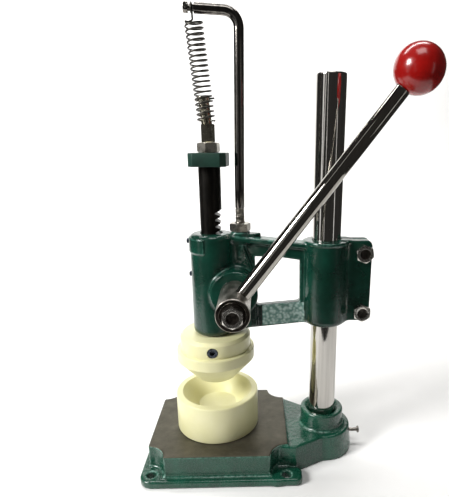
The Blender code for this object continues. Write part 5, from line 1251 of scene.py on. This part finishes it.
def makeHanger():
    s = hangerSizes
    slopeAngle = math.radians(s["rise"])
    bendX, bendZ = s["leanX"] - s["bend"], s["crown"] - s["bend"]
    route = [(s["x"], 212.8, 4.1), (s["x"], s["thread"] - 0.6, 4.1),
             (s["x"], s["thread"] + 0.2, s["radius"]), (s["x"] + 0.15, 290.0, s["radius"])]
    for step in range(17):
        angle = (math.pi / 2 - slopeAngle) * step / 16
        route.append((bendX + s["bend"] * math.cos(angle), bendZ + s["bend"] * math.sin(angle),
                      s["radius"]))
    crownX, crownZ, _ = route[-1]
    slope, straight = math.tan(slopeAngle), len(route)
    # the straight end with the spring's groove
    for x, radius in ((-121.3, 4.6), (-121.15, 4.45), (-121.1, 2.95), (-121.4, 2.8), (-126.0, 2.8),
                      (-126.4, 2.95), (-126.45, 4.45), (-126.6, 4.6), (-130.1, 4.6), (-130.5, 4.4),
                      (-130.7, 3.9)):
        route.append((x, crownZ + (crownX - x) * slope, radius))
    around = 40
    vertices, faces = [], []
    for index, (x, z, radius) in enumerate(route):
        before, after = route[max(index - 1, 0)], route[min(index + 1, len(route) - 1)]
        direction = Vector((after[0] - before[0], 0, after[1] - before[1])).normalized()
        if index >= straight:
            direction = Vector((-math.cos(slopeAngle), 0, math.sin(slopeAngle)))
        side = Vector((direction.z, 0, -direction.x))
        for step in range(around):
            angle = tau * step / around
            vertices.append(Vector((x, 0, z)) + side * radius * math.cos(angle)
                            + Vector((0, radius * math.sin(angle), 0)))
    for row in range(len(route) - 1):
        for step in range(around):
            after = (step + 1) % around
            faces.append((row * around + step, row * around + after, (row + 1) * around + after,
                          (row + 1) * around + step))
    faces.append(tuple(range(around)))
    faces.append(tuple((len(route) - 1) * around + step for step in reversed(range(around))))
    rod = finishMesh("hanger_rod", vertices, faces, finishes["rodSteel"], 35)
    pitch = 1.5
    length = s["thread"] - 2.0 - 214.0
    hanger = grown("hanger_threaded", rod, screwThread, {
        "Turns": length / pitch, "Radius": 4.1 * mm, "Length": length * mm, "Ridge": 0.5 * mm,
        "Foot": (s["x"] * mm, 0, 214.0 * mm), "Turn": (0, 0, 0)}, finishes["rodSteel"])
    sharpen(hanger, 35)
    hanger.data.materials.append(finishes["threadSteel"])
    for face in hanger.data.polygons:
        if face.center.z < (s["thread"] - 0.8) * mm:
            face.material_index = len(hanger.data.materials) - 1
    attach(hanger, "arm")
    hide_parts("spring_hanger")
    nut = hexNut("hanger_nut_chamfered", 18.0, 8.0, 4.9,
                 Matrix.Translation((s["x"], 0, 241.8)) @ Matrix.Rotation(math.radians(42), 4, "Z"),
                 finishes["nutSteel"])
    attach(nut, "arm")
    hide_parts("hanger_nut")


makeHanger()
print("hanger done")


# clamp bolts and gib screws

clampSizes = {
    "x": press["boltX"], "width": 16.0, "head": 6.4, "dish": 5.2, "shank": 4.65, "length": 33.9,
    "thread": 9.6,
}


def makeClampBolts():
    s = clampSizes
    for word, height in press["boltHeights"].items():
        place = axisPlace((s["x"], -10.8, height), (0, -1, 0), 0.0)
        upright = place @ Matrix.Rotation(math.radians(2 if word == "lower" else 9), 4, "Z")
        bolt = hexHead("clamp_bolt_head_" + word, s["width"], s["head"], s["dish"], 0.8, s["shank"],
                       s["length"], upright, finishes["boltSteel"])
        bolt = grown("clamp_bolt_threaded_" + word, bolt, screwThread, {
            "Turns": s["thread"] / 1.5, "Radius": s["shank"] * mm, "Length": s["thread"] * mm,
            "Ridge": 0.35 * mm,
            "Foot": (s["x"] * mm, 22.9 * mm, height * mm), "Turn": (math.pi / 2, 0, 0)},
            finishes["boltSteel"])
        sharpen(bolt, 24)
        paintDishShade(bolt, upright, s["dish"] - 0.1, s["head"])
        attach(bolt, "arm")
        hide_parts("clamp_bolt_" + word)
        ring = [(5.3, 0, 0.2), (9.2, 0, 0.3), (9.2, 2.0, 0.5), (5.3, 2.0, 0.2)]
        washer = turnedPiece("clamp_washer_pressed_" + word, ring,
                             axisPlace((s["x"], 10.8, height), (0, 1, 0)), finishes["nutSteel"],
                             64, 0.3, True)
        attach(washer, "arm")
        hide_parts("clamp_washer_" + word)
        nut = hexNut("clamp_nut_chamfered_" + word, s["width"], 8.0, 5.1,
                     axisPlace((s["x"], 13.1, height), (0, 1, 0)), finishes["nutSteel"])
        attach(nut, "arm")
        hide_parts("clamp_nut_" + word)


def makeGibScrews():
    for word, tip, end in (("lower", 10.8, 23.5), ("upper", 15.1, 24.7)):
        place = axisPlace((-press["throat"], 0, press["gibHeights"][word]), (-1, 0, 0))
        socket = hexRadius(2.5)
        levels = [(0, tip), (2.0, tip), (2.5, tip + 0.5), (2.5, end - 0.4), (2.1, end),
                  (lambda a: socket(a) + 0.1, end), (socket, end - 0.15), (socket, end - 2.0),
                  (0, end - 2.2)]
        screw = rings("gib_screw_socket_" + word, levels, place, finishes["screwSteel"], 48, 30)
        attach(screw, "arm")
        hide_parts("gib_screw_" + word)


makeClampBolts()
makeGibScrews()
print("clamp bolts and gib screws done")


# lever: hub, rod and ball

leverSizes = {
    "hubRadius": 15.0, "hubBack": 28.8, "recess": 11.6, "reach": 246.0, "ball": 20.0,
    "rootRadius": 7.3, "tipRadius": 6.3,
}


def makeHub():
    s = leverSizes
    front = press["hubFront"]
    place = axisPlace((press["pinionX"], 0, press["pinionZ"]), (0, -1, 0))
    length = -front
    profile = [(8.3, s["hubBack"], 0.3), (s["hubRadius"], s["hubBack"], 0.9), (s["hubRadius"], length, 1.1),
               (s["recess"], length, 0.35), (s["recess"], length - 2.6, 0.2), (8.3, length - 2.6, 0.2)]
    hub = turnedPiece("hub_turned", profile, place, finishes["hubSteel"], 128, 0.3, True)
    rodSeat = [(0, 6.0), (5.3, 6.0, 0), (5.3, 12.0, 0), (7.6, 12.0, 0), (7.6, 20.0, 0), (0, 20.0)]
    seat = turnedPiece("seat_cutter", rodSeat, axisPlace(leverFoot, leverAim), finishes["hubSteel"], 64)
    boolean(hub, seat, "DIFFERENCE")
    sharpen(hub, 32)
    # the front ring is painted dark as painted shade, only its two edges stay bright
    hub.data.materials.append(finishes["paintedShadeSteel"])
    for face in hub.data.polygons:
        if face.normal.y < -0.98 and face.center.y < (front + 1) * mm:
            face.material_index = len(hub.data.materials) - 1
    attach(hub, "lever")
    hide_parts("handle_hub")
    washer = turnedPiece("hub_washer_dark",
                         [(5.3, 0, 0.2), (11.2, 0, 0.2), (11.2, 1.8, 0.4), (5.3, 1.8, 0.2)],
                         axisPlace((press["pinionX"], front + 2.3, press["pinionZ"]), (0, -1, 0)),
                         finishes["washerSteel"], 96, 0.3, True)
    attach(washer, "lever")
    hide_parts("hub_washer")
    boltPlace = axisPlace((press["pinionX"], front + 0.2, press["pinionZ"]), (0, -1, 0))
    bolt = hexHead("hub_bolt_head", 17.0, 6.4, 5.6, 0.9, 5.0, 12.9, boltPlace, finishes["boltSteel"])
    paintDishShade(bolt, boltPlace, 5.5, 6.4)
    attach(bolt, "lever")
    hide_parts("hub_bolt")


def makeLever():
    s = leverSizes
    place = axisPlace(leverFoot, leverAim)
    ballFace = s["reach"] - s["ball"] + 1.1
    profile = [(0, -4.0), (5.0, -4.0, 0.5), (5.0, 12.3, 0), (s["rootRadius"], 12.3, 0.8),
               (s["rootRadius"], 20.0, 0), (s["tipRadius"], ballFace - 0.3, 0.5), (5.0, ballFace - 0.3, 0),
               (5.0, ballFace + 21.7, 0.5), (0, ballFace + 21.7)]
    rod = turnedPiece("lever_plated", profile, place, finishes["leverChrome"], 96)
    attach(rod, "lever")
    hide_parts("handle_rod")
    start = math.acos(1 - 1.1 / s["ball"])
    profile = [(0, ballFace + 22.0), (5.3, ballFace + 22.0, 0.2), (5.3, ballFace, 0.4)]
    for step in range(41):
        angle = start + (math.pi - start) * step / 40
        profile.append((max(s["ball"] * math.sin(angle), 0.0), s["reach"] - s["ball"] * math.cos(angle), 0))
    ball = turnedPiece("ball_moulded", profile, place, finishes["knob"], 96)
    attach(ball, "lever")
    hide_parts("ball_knob")


makeHub()
makeLever()
print("lever done")


# solids that stay, with their finishes

keptSolids = {
    "lower_die_bolt": "boltSteel", "lower_die_washer": "nutSteel", "front_bush": "bronze",
    "rear_bush": "bronze", "gib_plug": "bronze", "pinion_shaft": "boltSteel", "rear_washer": "nutSteel",
    "rear_clip": "washerSteel",
}
for nodeName, finish in keptSolids.items():
    node = cadNodes[nodeName]
    for slot in node.material_slots:
        slot.link = "OBJECT"
        slot.material = finishes[finish]
print("kept solids dressed:", len(keptSolids))


# floor, light and camera

studioSizes = {
    # front to back: place in y, height, left and right edge, in metres
    "sheet": [(-0.30, 0.0, -0.60, 0.46), (0.10, 0.0, -0.60, 0.46), (0.90, 0.0, -0.98, 0.66)],
    "sweep": 0.5, "top": 1.25, "backLeft": -1.25, "backRight": 0.86,
    "world": 0.045, "key": 27.0, "overhead": 4.5, "backdrop": 32.0, "strips": 4.0,
}


def makeFloor():
    # one pale sheet: level under the press, swept up behind it, dark room all round
    data = bpy.data.meshes.new("studio_floor")
    profile = list(studioSizes["sheet"])
    startY, sweep = profile[-1][0], studioSizes["sweep"]
    left, right = studioSizes["backLeft"], studioSizes["backRight"]
    for step in range(1, 13):
        angle = math.pi / 2 * step / 12
        share = step / 12
        profile.append((startY + sweep * math.sin(angle), sweep - sweep * math.cos(angle),
                        profile[2][2] * (1 - share) + left * share,
                        profile[2][3] * (1 - share) + right * share))
    profile.append((startY + sweep, studioSizes["top"], left, right))
    vertices, faces = [], []
    for y, z, leftEdge, rightEdge in profile:
        vertices += [(leftEdge, y, z), (rightEdge, y, z)]
    for row in range(len(profile) - 1):
        faces.append((2 * row, 2 * row + 1, 2 * row + 3, 2 * row + 2))
    data.from_pydata(vertices, [], faces)
    data.shade_smooth()
    material, tree, shader = newMaterial("studio_paper", "#f4f3f1", 0.75)
    cloud = addNode(tree, "ShaderNodeTexNoise", {"Vector": objectSpace(tree), **grainOf(60, 3.0)})
    feed(shader, {"Base Color": addNode(tree, "ShaderNodeValToRGB", {"Fac": cloud},
                                        [(0.3, "#f3f2f0"), (0.7, "#f6f5f3")])})
    data.materials.append(material)
    floor = linked("studio_floor", data)


def areaLight(name, place, target, size, power, roll=0.0):
    lamp = bpy.data.lights.new(name, "AREA")
    lamp.shape = "RECTANGLE"
    lamp.size, lamp.size_y = size
    lamp.energy = power
    holder = linked(name, lamp)
    holder.location = place
    aim = (Vector(target) - Vector(place)).to_track_quat("-Z", "Y")
    holder.rotation_euler = (aim @ Quaternion((0, 0, 1), math.radians(roll))).to_euler()


def makeLights():
    s = studioSizes
    areaLight("key_left", (-1.28, -0.62, 0.95), (-0.08, 0, 0.15), (0.42, 0.5), s["key"])
    areaLight("overhead", (0.0, -0.45, 1.4), (-0.05, -0.05, 0.0), (0.6, 0.5), s["overhead"])
    # faint strips for the chrome to mirror, the last one leaning with the lever
    for name, x, y, wide in (("strip_left", -0.55, -0.90, 0.05), ("strip_far_left", -1.0, -0.45, 0.16),
                             ("strip_right", 0.75, -0.75, 0.09)):
        areaLight(name, (x, y, 0.32), (0, 0, 0.30), (wide, 0.62), s["strips"] * wide * 0.62)
    areaLight("strip_lever", (-0.86, -0.82, 0.66), (0, -0.06, 0.30), (0.08, 1.1),
              s["strips"] * 0.08 * 1.1, -28)
    areaLight("backdrop_wash", (-0.2, 0.55, 1.6), (-0.2, 1.4, 0.55), (1.6, 0.3), s["backdrop"])
    world = bpy.data.worlds.new("studio")
    bpy.context.scene.world = world
    world.use_nodes = True
    feed(world.node_tree.nodes["Background"], {"Color": (0.92, 0.90, 0.86, 1), "Strength": s["world"]})


def makeCamera():
    # fitted to the photograph's outlines
    wide, high = 449, 497
    focal, centreX, centreY = 450.831414, 269.041832, 269.721186
    pitch, yaw, roll = 0.269381805, 0.0268456376, -0.00311506268
    place = Vector((-0.0688601561, -0.437009926, 0.322525709))
    ahead = Vector((math.sin(yaw) * math.cos(pitch), math.cos(yaw) * math.cos(pitch), -math.sin(pitch)))
    right = Vector((math.cos(yaw), -math.sin(yaw), 0))
    upward = right.cross(ahead)
    turnedRight = right * math.cos(roll) + upward * math.sin(roll)
    turnedUp = upward * math.cos(roll) - right * math.sin(roll)
    lens = bpy.data.cameras.new("photo_camera")
    lens.sensor_width = 36
    lens.lens = focal / high * 36
    lens.shift_x = -(centreX - wide / 2) / high
    lens.shift_y = (centreY - high / 2) / high
    lens.clip_start = 0.01
    camera = linked("photo_camera", lens)
    camera.matrix_world = Matrix((
        (turnedRight.x, turnedUp.x, -ahead.x, place.x), (turnedRight.y, turnedUp.y, -ahead.y, place.y),
        (turnedRight.z, turnedUp.z, -ahead.z, place.z), (0, 0, 0, 1)))
    bpy.context.scene.camera = camera


makeFloor()
makeLights()
makeCamera()
scene = bpy.context.scene
scene.view_settings.view_transform = "Standard"
print("studio done")

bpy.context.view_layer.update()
